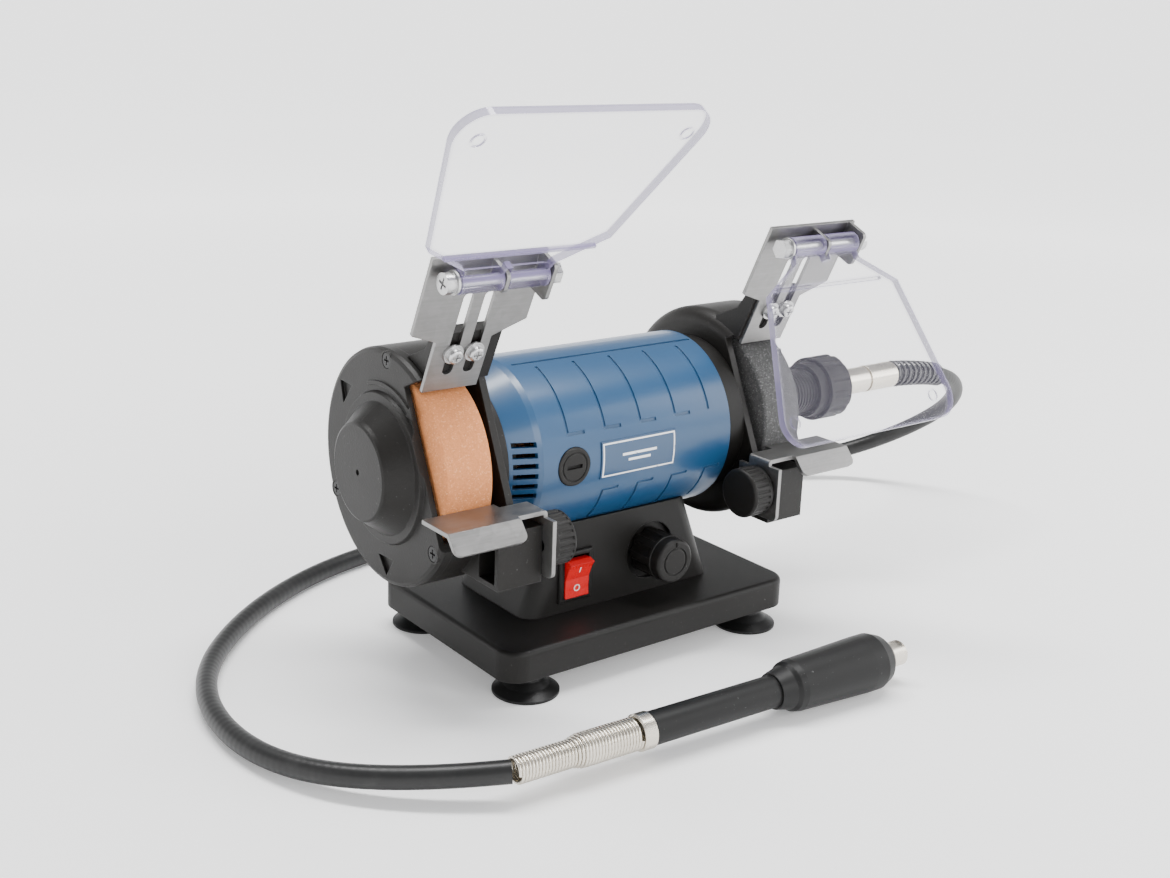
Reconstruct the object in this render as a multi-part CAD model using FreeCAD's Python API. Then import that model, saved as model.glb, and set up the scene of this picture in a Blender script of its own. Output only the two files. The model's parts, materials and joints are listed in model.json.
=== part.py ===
"""Small bench grinder: two 75 mm grinding wheels on one motor spindle, with a flexible drive shaft.

The motor axis runs along X. The wheel called left is at -X, the flexible shaft leaves at +X, the
user stands at -Y and Z is up. The origin lies under the middle of the base, in the plane that the
suction feet stand on. All lengths are millimetres and all angles are degrees.
"""
import FreeCAD, Part
import math
import os

V = FreeCAD.Vector

# ---- driving dimensions ---------------------------------------------------------------------
AXIS_HEIGHT = 85.0          # motor axis above the table
MIDDLE_X = -6.25            # plane halfway between the two wheels
RUN_GAP = 0.05              # radial clearance of a running or sliding fit
LOOSE_GAP = 0.3             # clearance between loose neighbours
SCREW_GAP = 0.1             # radial clearance of a screw in its hole

# base, feet and pedestal
BASE_LENGTH = 144.0
BASE_WIDTH = 95.0
BASE_BOTTOM = 9.0
BASE_THICKNESS = 12.0
BASE_CORNER = 9.0
BASE_WALL = 3.0
BASE_TOP = BASE_BOTTOM + BASE_THICKNESS
COVER_THICKNESS = 2.0
FOOT_X = BASE_LENGTH / 2 - 15.0
FOOT_Y = BASE_WIDTH / 2 - 10.5
FOOT_RADIUS = 13.0
FOOT_NECK = 5.5
FOOT_SCREW = 2.0
PEDESTAL_LENGTH = 96.0
PEDESTAL_TOP_LENGTH = 66.0
PEDESTAL_WIDTH = 51.0
PEDESTAL_TOP = AXIS_HEIGHT - 27.0
PEDESTAL_X = -1.0
PEDESTAL_CORNER = 7.0
PEDESTAL_WALL = 2.5
PEDESTAL_SCREW_X = 38.5
PEDESTAL_SCREW_Y = 16.5
FRONT = -PEDESTAL_WIDTH / 2

WIRE_X = 20.5
WIRE_RADIUS = 3.5
MOTOR_SCREW_LEFT = -28.0
MOTOR_SCREW_RIGHT = 28.5
GLAND_X = 20.0
GLAND_Z = 33.0
GLAND_RADIUS = 5.0

# switch and speed dial on the front of the pedestal
SWITCH_X = -26.5
SWITCH_Z = 36.0
SWITCH_WIDTH = 16.0
SWITCH_HEIGHT = 21.0
ROCKER_WIDTH = 11.4
ROCKER_HEIGHT = 15.8
ROCKER_TILT = 12.0
ROCKER_PIN = 1.5
DIAL_X = 12.0
DIAL_Z = 38.5
DIAL_RECESS = 12.0
DIAL_RECESS_DEPTH = 2.5
KNOB_RADIUS = 9.4
KNOB_LENGTH = 17.5
KNOB_LOBES = 8

# motor
DRUM_RADIUS = 36.0
DRUM_WALL = 2.0
DRUM_LEFT = -50.5
DRUM_RIGHT = 43.0
TAPER_END = -63.0
TAPER_RADIUS = DRUM_RADIUS - 4.5
BELL_DISC = 3.0
BELL_OUTER = 66.0 + MIDDLE_X     # distance of a bell's outer face from the middle plane
BEARING_RADIUS = 11.0
BEARING_BORE = 4.0
BEARING_WIDTH = 7.0
HUB_RADIUS = 14.0
NECK_RADIUS = DRUM_RADIUS - 3.0
STATOR_LENGTH = 38.0
STATOR_X = -3.0
STATOR_BORE = DRUM_RADIUS - 19.0
POLE_HALF = 0.47 * STATOR_BORE
ROTOR_RADIUS = STATOR_BORE - 0.6
SHAFT_RADIUS = 5.0
BRUSH_X = -36.4
BRUSH_CAP_RADIUS = 7.5
COMMUTATOR_RADIUS = 11.0
GROOVE_DEPTH = 0.5
GROOVE_WIDTH = 1.3
PANEL_X = (-38.5, -20.9, -3.3, 14.3, 31.9)

# wheels and what holds them, given outwards from the middle plane
WHEEL_OFFSET = 77.75
WHEEL_RADIUS = 37.5
WHEEL_WIDTH = 20.0
WHEEL_BORE = 5.0
FLANGE_RADIUS = 13.0
FLANGE_THICKNESS = 2.5
NUT_FLATS = 13.0
NUT_HEIGHT = 6.5

# guards, given outwards from the middle plane
GUARD_RADIUS = 45.0
GUARD_WALL = 2.5
GUARD_BACK = BELL_OUTER
GUARD_PLATE = 3.0
GUARD_EDGE = 88.0 - 2.25
GUARD_ROUND = 6.0
GUARD_HOLE = 16.0
OPENING_ANGLE = 24.6        # direction of the opening's middle, above the front
OPENING_OUTER = 27.7        # distance of the outer cover's cut edge from the axis
OPENING_INNER = 32.0        # the same for the inner cheek
OPENING_TOP = GUARD_RADIUS - 20.0    # how far the opening reaches above its middle
COVER_FACE = 91.25          # outer face of the guard cover's rim
COVER_WALL = 2.2
BOSS_FACE = 102.0
BOSS_RADIUS = 17.7
BOSS_FOOT = 27.4
COVER_SCREW_CIRCLE = GUARD_RADIUS - 3.8
COVER_SCREW_ANGLES = (93.0, 213.0, 333.0)
POCKET_ANGLES = (39.0, 267.0)
POCKET_DEPTH = 1.3

# spark deflectors and eye shields, in the plane of the deflector
LEAN = 25.0                 # the deflector plate leans forward by this much
TONGUE_REACH = GUARD_RADIUS - 3.378      # lower edge of the plate, from the motor axis
TONGUE_TURN = math.radians(123.446)      # and its direction, from +Y towards +Z
TONGUE_Y = TONGUE_REACH * math.cos(TONGUE_TURN)
TONGUE_Z = TONGUE_REACH * math.sin(TONGUE_TURN)
TONGUE_OFFSET = 76.65       # tongue middle from the middle plane
TONGUE_SHIFT = -1.8         # both tongues stand this far along X from their mirrored places
PLATE = 1.5
TONGUE_WIDTH = 22.8
TONGUE_LENGTH = 21.8
PLATE_LEFT = -22.0
PLATE_RIGHT = 24.5
PLATE_TOP = 57.0
SLOT_WIDTH = 4.2
SLOT_LOW = 6.8
SLOT_HIGH = 41.7
SLOT_MIDDLE = 1.1
SLOT_PITCH = 8.6
DEFLECTOR_SCREW_S = 16.3
HINGE_UP = 51.0             # hinge axis above the plate's lower edge, along the plate
HINGE_FORWARD = 7.0         # and in front of the plate's back face
HINGE_OFFSET = 3.0          # hinge middle to the right of the tongue middle
BARREL_RADIUS = 4.2
BARREL_HALF = 18.0
BOLT_RADIUS = 2.0
SHIELD_THICKNESS = 3.0
SHIELD_NECK = 18.0
SHIELD_SHOULDER = 36.0
SHIELD_SHOULDER_S = 18.0
SHIELD_HALF_WIDTH = 50.5
SHIELD_TOP_S = 77.0
SHIELD_CORNER = 10.0
SHIELD_RAISED = 130.0       # direction of the raised left shield, from +Y towards +Z
SHIELD_LOWERED = 241.5      # direction of the lowered right shield

# tool rests
REST_TOP = AXIS_HEIGHT - 7.0
REST_THICKNESS = 1.6
REST_BACK_GAP = 1.5
REST_DEPTH = 17.0
REST_OUTER = 98.0
REST_INNER = 68.0
REST_LIP_DROP = 6.5
REST_LIP_REACH = 5.5
REST_FLANGE = 55.0          # motor-side face of the rest's flange, from the middle plane
REST_FLANGE_FRONT = -59.0
REST_FLANGE_BACK = -36.5
REST_SHELF_BACK = -42.0
REST_FLANGE_BOTTOM = AXIS_HEIGHT - 31.5
REST_SLOT_FRONT = -54.0
REST_SLOT_BACK = -40.0
REST_STUD_Y = -48.0
REST_STUD_Z = AXIS_HEIGHT - 20.5
REST_STUD_RADIUS = 2.5
REST_KNOB_RADIUS = 10.0
REST_KNOB_LENGTH = 10.5
BOX_INNER = REST_FLANGE + REST_THICKNESS + 0.1
BOX_OUTER = 75.75
BOX_FRONT = -53.0
BOX_BACK = -39.0
BOX_BOTTOM = AXIS_HEIGHT - 34.0
BOX_TOP = AXIS_HEIGHT - 12.5
BOX_WALL = 2.0

# flexible shaft and handpiece
COUPLING_NECK = 10.0
COUPLING_NECK_END = 124.0
COUPLING_START = 121.5
COUPLING_END = 141.0
COUPLING_RADIUS = 14.5
FERRULE_RADIUS = 6.1
FERRULE_END = 182.0
FERRULE_GROOVE = 162.5
CORE_RADIUS = 2.5
CORE_BORE = 3.2
CORD_DIAMETER = 8.0
SPRING_WIRE = 0.7
SPRING_RADIUS = 5.6
SPRING_LENGTH = 25.0
SPRING_TURNS = 7
HANDPIECE_TURN = -3.1       # direction of the handpiece, from +X towards +Y
HANDPIECE_X = -107.0
HANDPIECE_Y = -99.2
GRIP_RADIUS = 11.0
HANDPIECE_TUBE = 6.0
COLLET_RADIUS = 4.9
COLLET_BORE = 1.6

# The free shaft's route, from the ferrule to the handpiece. Its last run lies on the handpiece's line.
ROUTE = [
    (182.0, 0.0, AXIS_HEIGHT),
    (230.0, 0.0, AXIS_HEIGHT - 3.4),
    (266.0, 22.0, 52.0),
    (250.0, 77.0, 14.0),
    (172.0, 108.0, 5.0),
    (90.0, 121.0, 4.0),
    (6.0, 112.0, 4.0),
    (-64.0, 106.0, 4.0),
    (-122.0, 74.0, 4.0),
    (-163.0, 26.0, 4.0),
    (-169.0, -32.0, 4.0),
    (-144.0, -78.0, 8.0),
    (-107.0, -99.2, 11.0),
]


# ---- helpers --------------------------------------------------------------------------------
def box(x0, x1, y0, y1, z0, z1):
    return Part.makeBox(x1 - x0, y1 - y0, z1 - z0, V(x0, y0, z0))


def rod(start, direction, length, radius):
    return Part.makeCylinder(radius, length, V(*start), V(*direction))


def rod_x(x0, x1, radius, y=0.0, z=AXIS_HEIGHT):
    return rod((x0, y, z), (1, 0, 0), x1 - x0, radius)


def tube_x(x0, x1, outer, inner, y=0.0, z=AXIS_HEIGHT):
    return rod_x(x0, x1, outer, y, z).cut(rod_x(x0, x1, inner, y, z))


def joined(shapes):
    whole = shapes[0]
    for shape in shapes[1:]:
        whole = whole.fuse(shape)
    return whole.removeSplitter()


def polygon(points):
    return Part.Face(Part.makePolygon([V(*p) for p in points] + [V(*points[0])]))


def turned(profile, y=0.0, z=AXIS_HEIGHT):
    """A solid turned about a line along X, from (x, radius) points."""
    face = polygon([(x, y, z + radius) for x, radius in profile])
    return face.revolve(V(0, y, z), V(1, 0, 0), 360)


def turned_z(profile, x, y):
    """A solid turned about a vertical line, from (radius, z) points."""
    face = polygon([(x + radius, y, z) for radius, z in profile])
    return face.revolve(V(x, y, 0), V(0, 0, 1), 360)


def prism_x(points, x0, x1):
    """A solid of one (y, z) outline, along X."""
    return polygon([(x0, y, z) for y, z in points]).extrude(V(x1 - x0, 0, 0))


def rounded_block(x, y, length, width, corner, z0, z1):
    block = box(x - length / 2, x + length / 2, y - width / 2, y + width / 2, z0, z1)
    return block.makeFillet(corner, upright_edges(block))


def upright_edges(shape):
    return [e for e in shape.Edges if e.BoundBox.ZLength > 0.99 * shape.BoundBox.ZLength]


def edges_at(shape, axis, value, tolerance=0.01):
    """The edges that lie wholly in one plane across an axis."""
    low, high = axis + "Min", axis + "Max"
    return [
        e for e in shape.Edges
        if abs(getattr(e.BoundBox, low) - value) < tolerance
        and abs(getattr(e.BoundBox, high) - value) < tolerance
    ]


def mirrored(shape):
    """The same piece on the other side of the machine."""
    return shape.mirror(V(MIDDLE_X, 0, 0), V(1, 0, 0))


def outwards(distance):
    """The place of a left-hand plane, given by its distance from the middle plane."""
    return MIDDLE_X - distance


def swung(shape, angle, y, z):
    """Turn a piece that is drawn in X and Y about X, then carry its origin to (y, z)."""
    turned_shape = shape.copy()
    turned_shape.rotate(V(0, 0, 0), V(1, 0, 0), angle)
    turned_shape.translate(V(0, y, z))
    return turned_shape


def around_axis(angle, radius):
    """A (y, z) point around the motor axis, with the angle measured from +Y towards +Z."""
    turn = math.radians(angle)
    return radius * math.cos(turn), AXIS_HEIGHT + radius * math.sin(turn)


def save(name, shape):
    solids = shape.Solids
    result = solids[0] if len(solids) == 1 else Part.makeCompound(solids)
    result.exportStep("parts/" + name + ".step")
    print(name, len(solids), round(result.Volume), result.isValid())


# ---- base and pedestal ----------------------------------------------------------------------
def foot_places():
    return [(x, y) for x in (-FOOT_X, FOOT_X) for y in (-FOOT_Y, FOOT_Y)]


def pedestal_screw_places():
    return [
        (PEDESTAL_X + x, y)
        for x in (-PEDESTAL_SCREW_X, PEDESTAL_SCREW_X)
        for y in (-PEDESTAL_SCREW_Y, PEDESTAL_SCREW_Y)
    ]


def base_plate():
    plate = rounded_block(0, 0, BASE_LENGTH, BASE_WIDTH, BASE_CORNER, BASE_BOTTOM, BASE_TOP)
    plate = plate.makeFillet(2.0, edges_at(plate, "Z", BASE_TOP))
    inside_length = BASE_LENGTH - 2 * BASE_WALL
    inside_width = BASE_WIDTH - 2 * BASE_WALL
    inside_corner = BASE_CORNER - BASE_WALL
    ceiling = BASE_TOP - BASE_WALL
    plate = plate.cut(rounded_block(0, 0, inside_length, inside_width, inside_corner, BASE_BOTTOM, ceiling))
    floor = BASE_BOTTOM + COVER_THICKNESS
    for x, y in foot_places():
        boss = rod((x, y, floor), (0, 0, 1), ceiling - floor, 3 * FOOT_SCREW)
        plate = plate.fuse(boss)
        plate = plate.cut(rod((x, y, floor), (0, 0, 1), 6.0, FOOT_SCREW + SCREW_GAP))
    for x, y in pedestal_screw_places():
        plate = plate.cut(rod((x, y, ceiling), (0, 0, 1), BASE_WALL, 2.0 + SCREW_GAP))
    plate = plate.cut(rod((PEDESTAL_X, 0, ceiling), (0, 0, 1), BASE_WALL, 8.0))
    return plate.removeSplitter()


def base_cover():
    gap = 0.2
    length = BASE_LENGTH - 2 * BASE_WALL - 2 * gap
    width = BASE_WIDTH - 2 * BASE_WALL - 2 * gap
    corner = BASE_CORNER - BASE_WALL
    cover = rounded_block(0, 0, length, width, corner, BASE_BOTTOM, BASE_BOTTOM + COVER_THICKNESS)
    for x, y in foot_places():
        cover = cover.cut(rod((x, y, BASE_BOTTOM), (0, 0, 1), COVER_THICKNESS, FOOT_SCREW + SCREW_GAP))
    return cover


def suction_foot(x, y):
    hole = FOOT_SCREW + SCREW_GAP
    head_room = 4.3
    rim = FOOT_RADIUS - 1.2
    profile = [
        (hole, BASE_BOTTOM), (FOOT_NECK, BASE_BOTTOM), (FOOT_NECK, 7.2), (FOOT_NECK + 0.9, 5.6),
        (FOOT_RADIUS - 4, 3.2), (FOOT_RADIUS, 0.9), (FOOT_RADIUS, 0.0), (rim, 0.0),
        (rim - 4, 1.6), (head_room, 2.0), (head_room, 4.8), (hole, 4.8),
    ]
    return turned_z(profile, x, y)


def foot_screw(x, y):
    head = rod((x, y, 2.4), (0, 0, 1), 2.4, 3.8)
    shank = rod((x, y, 4.8), (0, 0, 1), 10.0, FOOT_SCREW)
    cross = box(x - 2, x + 2, y - 0.4, y + 0.4, 2.4, 3.4).fuse(box(x - 0.4, x + 0.4, y - 2, y + 2, 2.4, 3.4))
    return head.fuse(shank).cut(cross)


def tapered_block(bottom_length, top_length, width, corner, z0, z1):
    """A block whose ends draw in upwards, with rounded upright corners."""
    x = PEDESTAL_X
    outline = [
        (x - bottom_length / 2, z0), (x + bottom_length / 2, z0),
        (x + top_length / 2, z1), (x - top_length / 2, z1),
    ]
    face = polygon([(px, -width / 2, pz) for px, pz in outline])
    block = face.extrude(V(0, width, 0))
    corners = [e for e in block.Edges if e.BoundBox.ZLength > 0.9 * (z1 - z0)]
    return block.makeFillet(corner, corners)


def pedestal():
    wall = PEDESTAL_WALL
    outer = tapered_block(
        PEDESTAL_LENGTH, PEDESTAL_TOP_LENGTH, PEDESTAL_WIDTH, PEDESTAL_CORNER, BASE_TOP, PEDESTAL_TOP)
    hollow = tapered_block(
        PEDESTAL_LENGTH - 2 * wall, PEDESTAL_TOP_LENGTH - 2 * wall, PEDESTAL_WIDTH - 2 * wall,
        PEDESTAL_CORNER - wall, BASE_TOP, PEDESTAL_TOP)
    saddle = rod_x(-100, 100, DRUM_RADIUS + wall)
    shell = outer.cut(hollow.cut(saddle))
    for x, y in pedestal_screw_places():
        post = rod((x, y, BASE_TOP), (0, 0, 1), PEDESTAL_TOP - BASE_TOP, 4.0)
        shell = shell.fuse(post.common(outer))
        shell = shell.cut(rod((x, y, BASE_TOP), (0, 0, 1), 12.0, 1.6 + SCREW_GAP))
    dial_floor = FRONT + DIAL_RECESS_DEPTH
    pad = rod((DIAL_X, FRONT + 1.0, DIAL_Z), (0, 1, 0), DIAL_RECESS_DEPTH + 1.5, DIAL_RECESS + 2.0)
    shell = shell.fuse(pad)
    shell = shell.cut(rod((DIAL_X, FRONT - 1.0, DIAL_Z), (0, 1, 0), DIAL_RECESS_DEPTH + 1.0, DIAL_RECESS))
    shell = shell.cut(rod((DIAL_X, dial_floor, DIAL_Z), (0, 1, 0), 10.0, 4.0))
    shell = shell.cut(switch_opening())
    shell = shell.cut(rod_x(-100, 100, DRUM_RADIUS + RUN_GAP))
    shell = shell.cut(rod((WIRE_X, 0, PEDESTAL_TOP - 20), (0, 0, 1), 20.0, WIRE_RADIUS))
    for x in motor_screw_places():
        shell = shell.cut(rod((x, 0, PEDESTAL_TOP - 20), (0, 0, 1), 20.0, 2.0 + SCREW_GAP))
    gland = rod((GLAND_X, -FRONT - 10.0, GLAND_Z), (0, 1, 0), 20.0, GLAND_RADIUS)
    return shell.cut(gland).removeSplitter()


def motor_screw_places():
    """Places along X outside the stator's ends."""
    return (MOTOR_SCREW_LEFT, MOTOR_SCREW_RIGHT)


def pedestal_screws():
    screws = []
    under = BASE_TOP - BASE_WALL
    for x, y in pedestal_screw_places():
        head = rod((x, y, under - 2.0), (0, 0, 1), 2.0, 3.4)
        shank = rod((x, y, under), (0, 0, 1), 13.0, 1.6)
        screws.append(head.fuse(shank))
    saddle = AXIS_HEIGHT - DRUM_RADIUS - PEDESTAL_WALL
    for x in motor_screw_places():
        head = rod((x, 0, saddle - 2.4), (0, 0, 1), 2.2, 3.6)
        shank = rod((x, 0, saddle - 0.2), (0, 0, 1), 5.6, 2.0)
        screws.append(head.fuse(shank))
    return Part.makeCompound(screws)


def mains_gland():
    """The bush in the back of the pedestal that a mains lead would come in through."""
    wall = -FRONT
    bush = rod((GLAND_X, wall - 5.0, GLAND_Z), (0, 1, 0), 8.0, GLAND_RADIUS - SCREW_GAP)
    collar = rod((GLAND_X, wall, GLAND_Z), (0, 1, 0), 3.0, GLAND_RADIUS + 2.0)
    nut = rod((GLAND_X, wall - PEDESTAL_WALL - 2.2, GLAND_Z), (0, 1, 0), 2.0, GLAND_RADIUS + 1.6)
    bore = rod((GLAND_X, wall - 6.0, GLAND_Z), (0, 1, 0), 12.0, 3.2)
    return joined([bush, collar, nut]).cut(bore)


# ---- switch and dial ------------------------------------------------------------------------
def switch_opening():
    half_width = SWITCH_WIDTH / 2 - 1.2
    half_height = SWITCH_HEIGHT / 2 - 1.0
    return box(
        SWITCH_X - half_width, SWITCH_X + half_width, FRONT - 1, FRONT + 8,
        SWITCH_Z - half_height, SWITCH_Z + half_height)


def switch_frame():
    bezel = box(
        SWITCH_X - SWITCH_WIDTH / 2, SWITCH_X + SWITCH_WIDTH / 2, FRONT - 1.6, FRONT,
        SWITCH_Z - SWITCH_HEIGHT / 2, SWITCH_Z + SWITCH_HEIGHT / 2)
    bezel = bezel.makeFillet(1.0, edges_at(bezel, "Y", FRONT - 1.6))
    half_width = SWITCH_WIDTH / 2 - 1.2 - SCREW_GAP
    half_height = SWITCH_HEIGHT / 2 - 1.0 - SCREW_GAP
    body = box(
        SWITCH_X - half_width, SWITCH_X + half_width, FRONT, FRONT + 13.0,
        SWITCH_Z - half_height, SWITCH_Z + half_height)
    well = box(
        SWITCH_X - ROCKER_WIDTH / 2 - LOOSE_GAP, SWITCH_X + ROCKER_WIDTH / 2 + LOOSE_GAP,
        FRONT - 2.0, FRONT + 9.0,
        SWITCH_Z - ROCKER_HEIGHT / 2 - 0.75, SWITCH_Z + ROCKER_HEIGHT / 2 + 0.75)
    frame = bezel.fuse(body).cut(well)
    y, z = rocker_pivot()
    reach = ROCKER_WIDTH / 2 + 0.75
    frame = frame.cut(rod_x(SWITCH_X - reach, SWITCH_X + reach, ROCKER_PIN + RUN_GAP, y, z))
    for x in (-4.0, 4.0):
        blade = box(
            SWITCH_X + x - 0.4, SWITCH_X + x + 0.4, FRONT + 13.0, FRONT + 19.0, SWITCH_Z - 3, SWITCH_Z + 3)
        frame = frame.fuse(blade)
    return frame.removeSplitter()


def rocker_pivot():
    return FRONT + 1.0, SWITCH_Z


def rocker():
    """The rocker in its off position, with its lower half pressed in."""
    half = ROCKER_HEIGHT / 2
    outline = [
        (-2.2, half), (-5.0, half - 0.3), (-4.0, half - 3.0), (-3.2, 0.0),
        (-4.0, -half + 3.0), (-5.0, -half + 0.3), (-2.2, -half), (1.0, -half + 1.0),
        (4.0, -1.6), (4.0, 1.6), (1.0, half - 1.0),
    ]
    body = prism_x(outline, SWITCH_X - ROCKER_WIDTH / 2, SWITCH_X + ROCKER_WIDTH / 2)
    y, z = rocker_pivot()
    body.rotate(V(0, 0, 0), V(1, 0, 0), ROCKER_TILT)
    body.translate(V(0, y, z))
    reach = ROCKER_WIDTH / 2 + 0.6
    return body.fuse(rod_x(SWITCH_X - reach, SWITCH_X + reach, ROCKER_PIN, y, z)).removeSplitter()


def speed_knob():
    seat = FRONT + DIAL_RECESS_DEPTH - 1.0
    front = seat - KNOB_LENGTH
    skirt = rod((DIAL_X, seat, DIAL_Z), (0, -1, 0), KNOB_LENGTH - 5.0, KNOB_RADIUS)
    for n in range(KNOB_LOBES):
        turn = math.radians(360.0 * (n + 0.5) / KNOB_LOBES)
        x = DIAL_X + (KNOB_RADIUS + 1.6) * math.cos(turn)
        z = DIAL_Z + (KNOB_RADIUS + 1.6) * math.sin(turn)
        skirt = skirt.cut(rod((x, seat + 1, z), (0, -1, 0), KNOB_LENGTH - 5.0, 2.9))
    cap = rod((DIAL_X, front + 5.0, DIAL_Z), (0, -1, 0), 5.0, KNOB_RADIUS - 0.3)
    cap = cap.makeFillet(1.4, edges_at(cap, "Y", front))
    groove = rod((DIAL_X, front, DIAL_Z), (0, 1, 0), 0.5, KNOB_RADIUS - 3.4)
    groove = groove.cut(rod((DIAL_X, front, DIAL_Z), (0, 1, 0), 0.5, KNOB_RADIUS - 4.2))
    mark = box(DIAL_X - 0.5, DIAL_X + 0.5, front, front + 0.5, DIAL_Z + 5.8, DIAL_Z + 8.0)
    stem = rod((DIAL_X, seat, DIAL_Z), (0, 1, 0), 3.5, 3.0 - RUN_GAP)
    knob = skirt.fuse(cap).cut(groove).cut(mark)
    return knob.fuse(stem).removeSplitter()


def dial_potentiometer():
    floor = FRONT + DIAL_RECESS_DEPTH + 2.5
    can = rod((DIAL_X, floor + 0.2, DIAL_Z), (0, 1, 0), 7.0, 8.0)
    collar = rod((DIAL_X, floor - 2.3, DIAL_Z), (0, 1, 0), 2.6, 3.7)
    socket = rod((DIAL_X, floor - 3.0, DIAL_Z), (0, 1, 0), 4.0, 3.0)
    return can.fuse(collar).cut(socket).removeSplitter()


def speed_board():
    board = box(-18.0, 26.0, -2.0, 20.0, 30.0, 31.6)
    parts = [
        board,
        box(-14.0, -4.0, 4.0, 16.0, 31.6, 36.5),
        box(0.0, 6.0, 6.0, 8.5, 31.6, 39.0),
        rod((16.0, 12.0, 31.6), (0, 0, 1), 8.0, 4.0),
        box(-16.0, -8.0, -1.0, 2.0, 31.6, 34.0),
    ]
    legs = [box(x, x + 3, y, y + 3, BASE_TOP, 30.0) for x in (-18.0, 22.0) for y in (-2.0, 17.0)]
    return joined(parts + legs)


# ---- motor ----------------------------------------------------------------------------------
def motor_housing():
    wall = DRUM_WALL
    shell = turned([
        (DRUM_RIGHT, DRUM_RADIUS - wall), (DRUM_RIGHT, DRUM_RADIUS), (DRUM_LEFT, DRUM_RADIUS),
        (DRUM_LEFT - 2.5, DRUM_RADIUS - 0.6), (TAPER_END, TAPER_RADIUS), (TAPER_END, TAPER_RADIUS - wall),
        (DRUM_LEFT - 2.5, DRUM_RADIUS - wall - 0.6), (DRUM_LEFT, DRUM_RADIUS - wall),
    ])
    for side in (-1, 1):
        shell = shell.cut(vent_slots(side))
        boss = rod((BRUSH_X, side * (DRUM_RADIUS - 5.0), AXIS_HEIGHT), (0, side, 0), 4.5, BRUSH_CAP_RADIUS + 1.4)
        shell = shell.fuse(boss.common(rod_x(DRUM_LEFT, DRUM_RIGHT, DRUM_RADIUS - 0.1)))
        shell = shell.cut(rod(
            (BRUSH_X, side * (DRUM_RADIUS - 8.0), AXIS_HEIGHT), (0, side, 0), 12.0,
            BRUSH_CAP_RADIUS + SCREW_GAP))
        shell = shell.cut(panel_grooves(side))
    shell = shell.cut(rod((WIRE_X, 0, AXIS_HEIGHT - DRUM_RADIUS - 1), (0, 0, 1), 5.0, WIRE_RADIUS))
    for x in motor_screw_places():
        shell = shell.cut(rod((x, 0, AXIS_HEIGHT - DRUM_RADIUS - 1), (0, 0, 1), 5.0, 2.0 + SCREW_GAP))
    return shell.removeSplitter()


def vent_slots(side):
    """Six cooling slots in the tapered end."""
    slots = []
    for n in range(6):
        z = AXIS_HEIGHT - 9.8 + 3.9 * n
        slots.append(box(-61.6, -52.6, min(side * 22, side * 42), max(side * 22, side * 42), z, z + 1.9))
    return Part.makeCompound(slots)


def ring_groove(x, start, end):
    """A groove round part of the drum, between two angles from +Y towards +Z."""
    y, z = around_axis(start, 1.0)
    inner = DRUM_RADIUS - GROOVE_DEPTH
    outer = DRUM_RADIUS + 1.0
    half = GROOVE_WIDTH / 2
    points = []
    for px, radius in ((x - half, inner), (x + half, inner), (x + half, outer), (x - half, outer)):
        points.append((px, y * radius, AXIS_HEIGHT + (z - AXIS_HEIGHT) * radius))
    return polygon(points).revolve(V(0, 0, AXIS_HEIGHT), V(1, 0, 0), end - start)


def line_groove(x0, x1, angle):
    """A straight groove along the drum at one angle."""
    y, z = around_axis(angle, DRUM_RADIUS)
    bar = box(x0, x1, -GROOVE_WIDTH / 2, GROOVE_WIDTH / 2, -GROOVE_DEPTH, 1.0)
    bar.rotate(V(0, 0, 0), V(1, 0, 0), angle - 90.0)
    bar.translate(V(0, y, z))
    return bar


def panel_grooves(side):
    """The shallow lines that divide the drum into panels, on the front or on the back."""
    cuts = []
    top, low, lower = 70.0, 20.0, -20.0
    flip = (lambda a: a) if side > 0 else (lambda a: 180.0 - a)
    for x in PANEL_X:
        a, b = sorted((flip(top), flip(low)))
        cuts.append(ring_groove(x, a, b))
    for x in PANEL_X[1:]:
        a, b = sorted((flip(lower), flip(lower - 28.0)))
        cuts.append(ring_groove(x, a, b))
    cuts.append(line_groove(DRUM_LEFT + 3.0, DRUM_RIGHT - 1.0, flip(75.0)))
    for x in PANEL_X[:-1]:
        cuts.append(line_groove(x, x + 8.0, flip(low)))
    for x in PANEL_X[1:]:
        cuts.append(line_groove(x, x + 8.0, flip(lower)))
    return Part.makeCompound(cuts)


def end_bell_parts(spigot, spigot_start, disc_radius):
    """A left-hand end bell: disc, spigot into the housing and bearing hub."""
    outer_face = outwards(BELL_OUTER)
    disc_face = outer_face + BELL_DISC
    bearing_start = outer_face + 2.0
    disc = rod_x(outer_face, disc_face, disc_radius)
    ring = tube_x(disc_face, spigot_start, spigot, spigot - 2.0)
    hub = rod_x(outer_face, bearing_start + BEARING_WIDTH, HUB_RADIUS)
    pocket = rod_x(bearing_start, bearing_start + BEARING_WIDTH, BEARING_RADIUS)
    bore = rod_x(outer_face, bearing_start, SHAFT_RADIUS + 1.5)
    bell = joined([disc, ring, hub]).cut(pocket).cut(bore)
    for n in range(8):
        angle = 45.0 * n + 22.5
        y, z = around_axis(angle, 21.0)
        bell = bell.cut(rod_x(outer_face, disc_face, 3.2, y, z))
    return bell


def left_end_bell():
    return end_bell_parts(TAPER_RADIUS - DRUM_WALL - 0.2, TAPER_END + 5.0, TAPER_RADIUS)


def right_end_bell():
    disc = mirrored(end_bell_parts(NECK_RADIUS - 0.5, outwards(BELL_OUTER) + BELL_DISC + 1.0, NECK_RADIUS))
    face = 2 * MIDDLE_X - outwards(BELL_OUTER)
    neck = tube_x(DRUM_RIGHT, face, NECK_RADIUS, NECK_RADIUS - 2.5)
    spigot = tube_x(DRUM_RIGHT - 5.0, DRUM_RIGHT, DRUM_RADIUS - DRUM_WALL - 0.2, NECK_RADIUS - 2.5)
    return joined([disc, neck, spigot])


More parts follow.
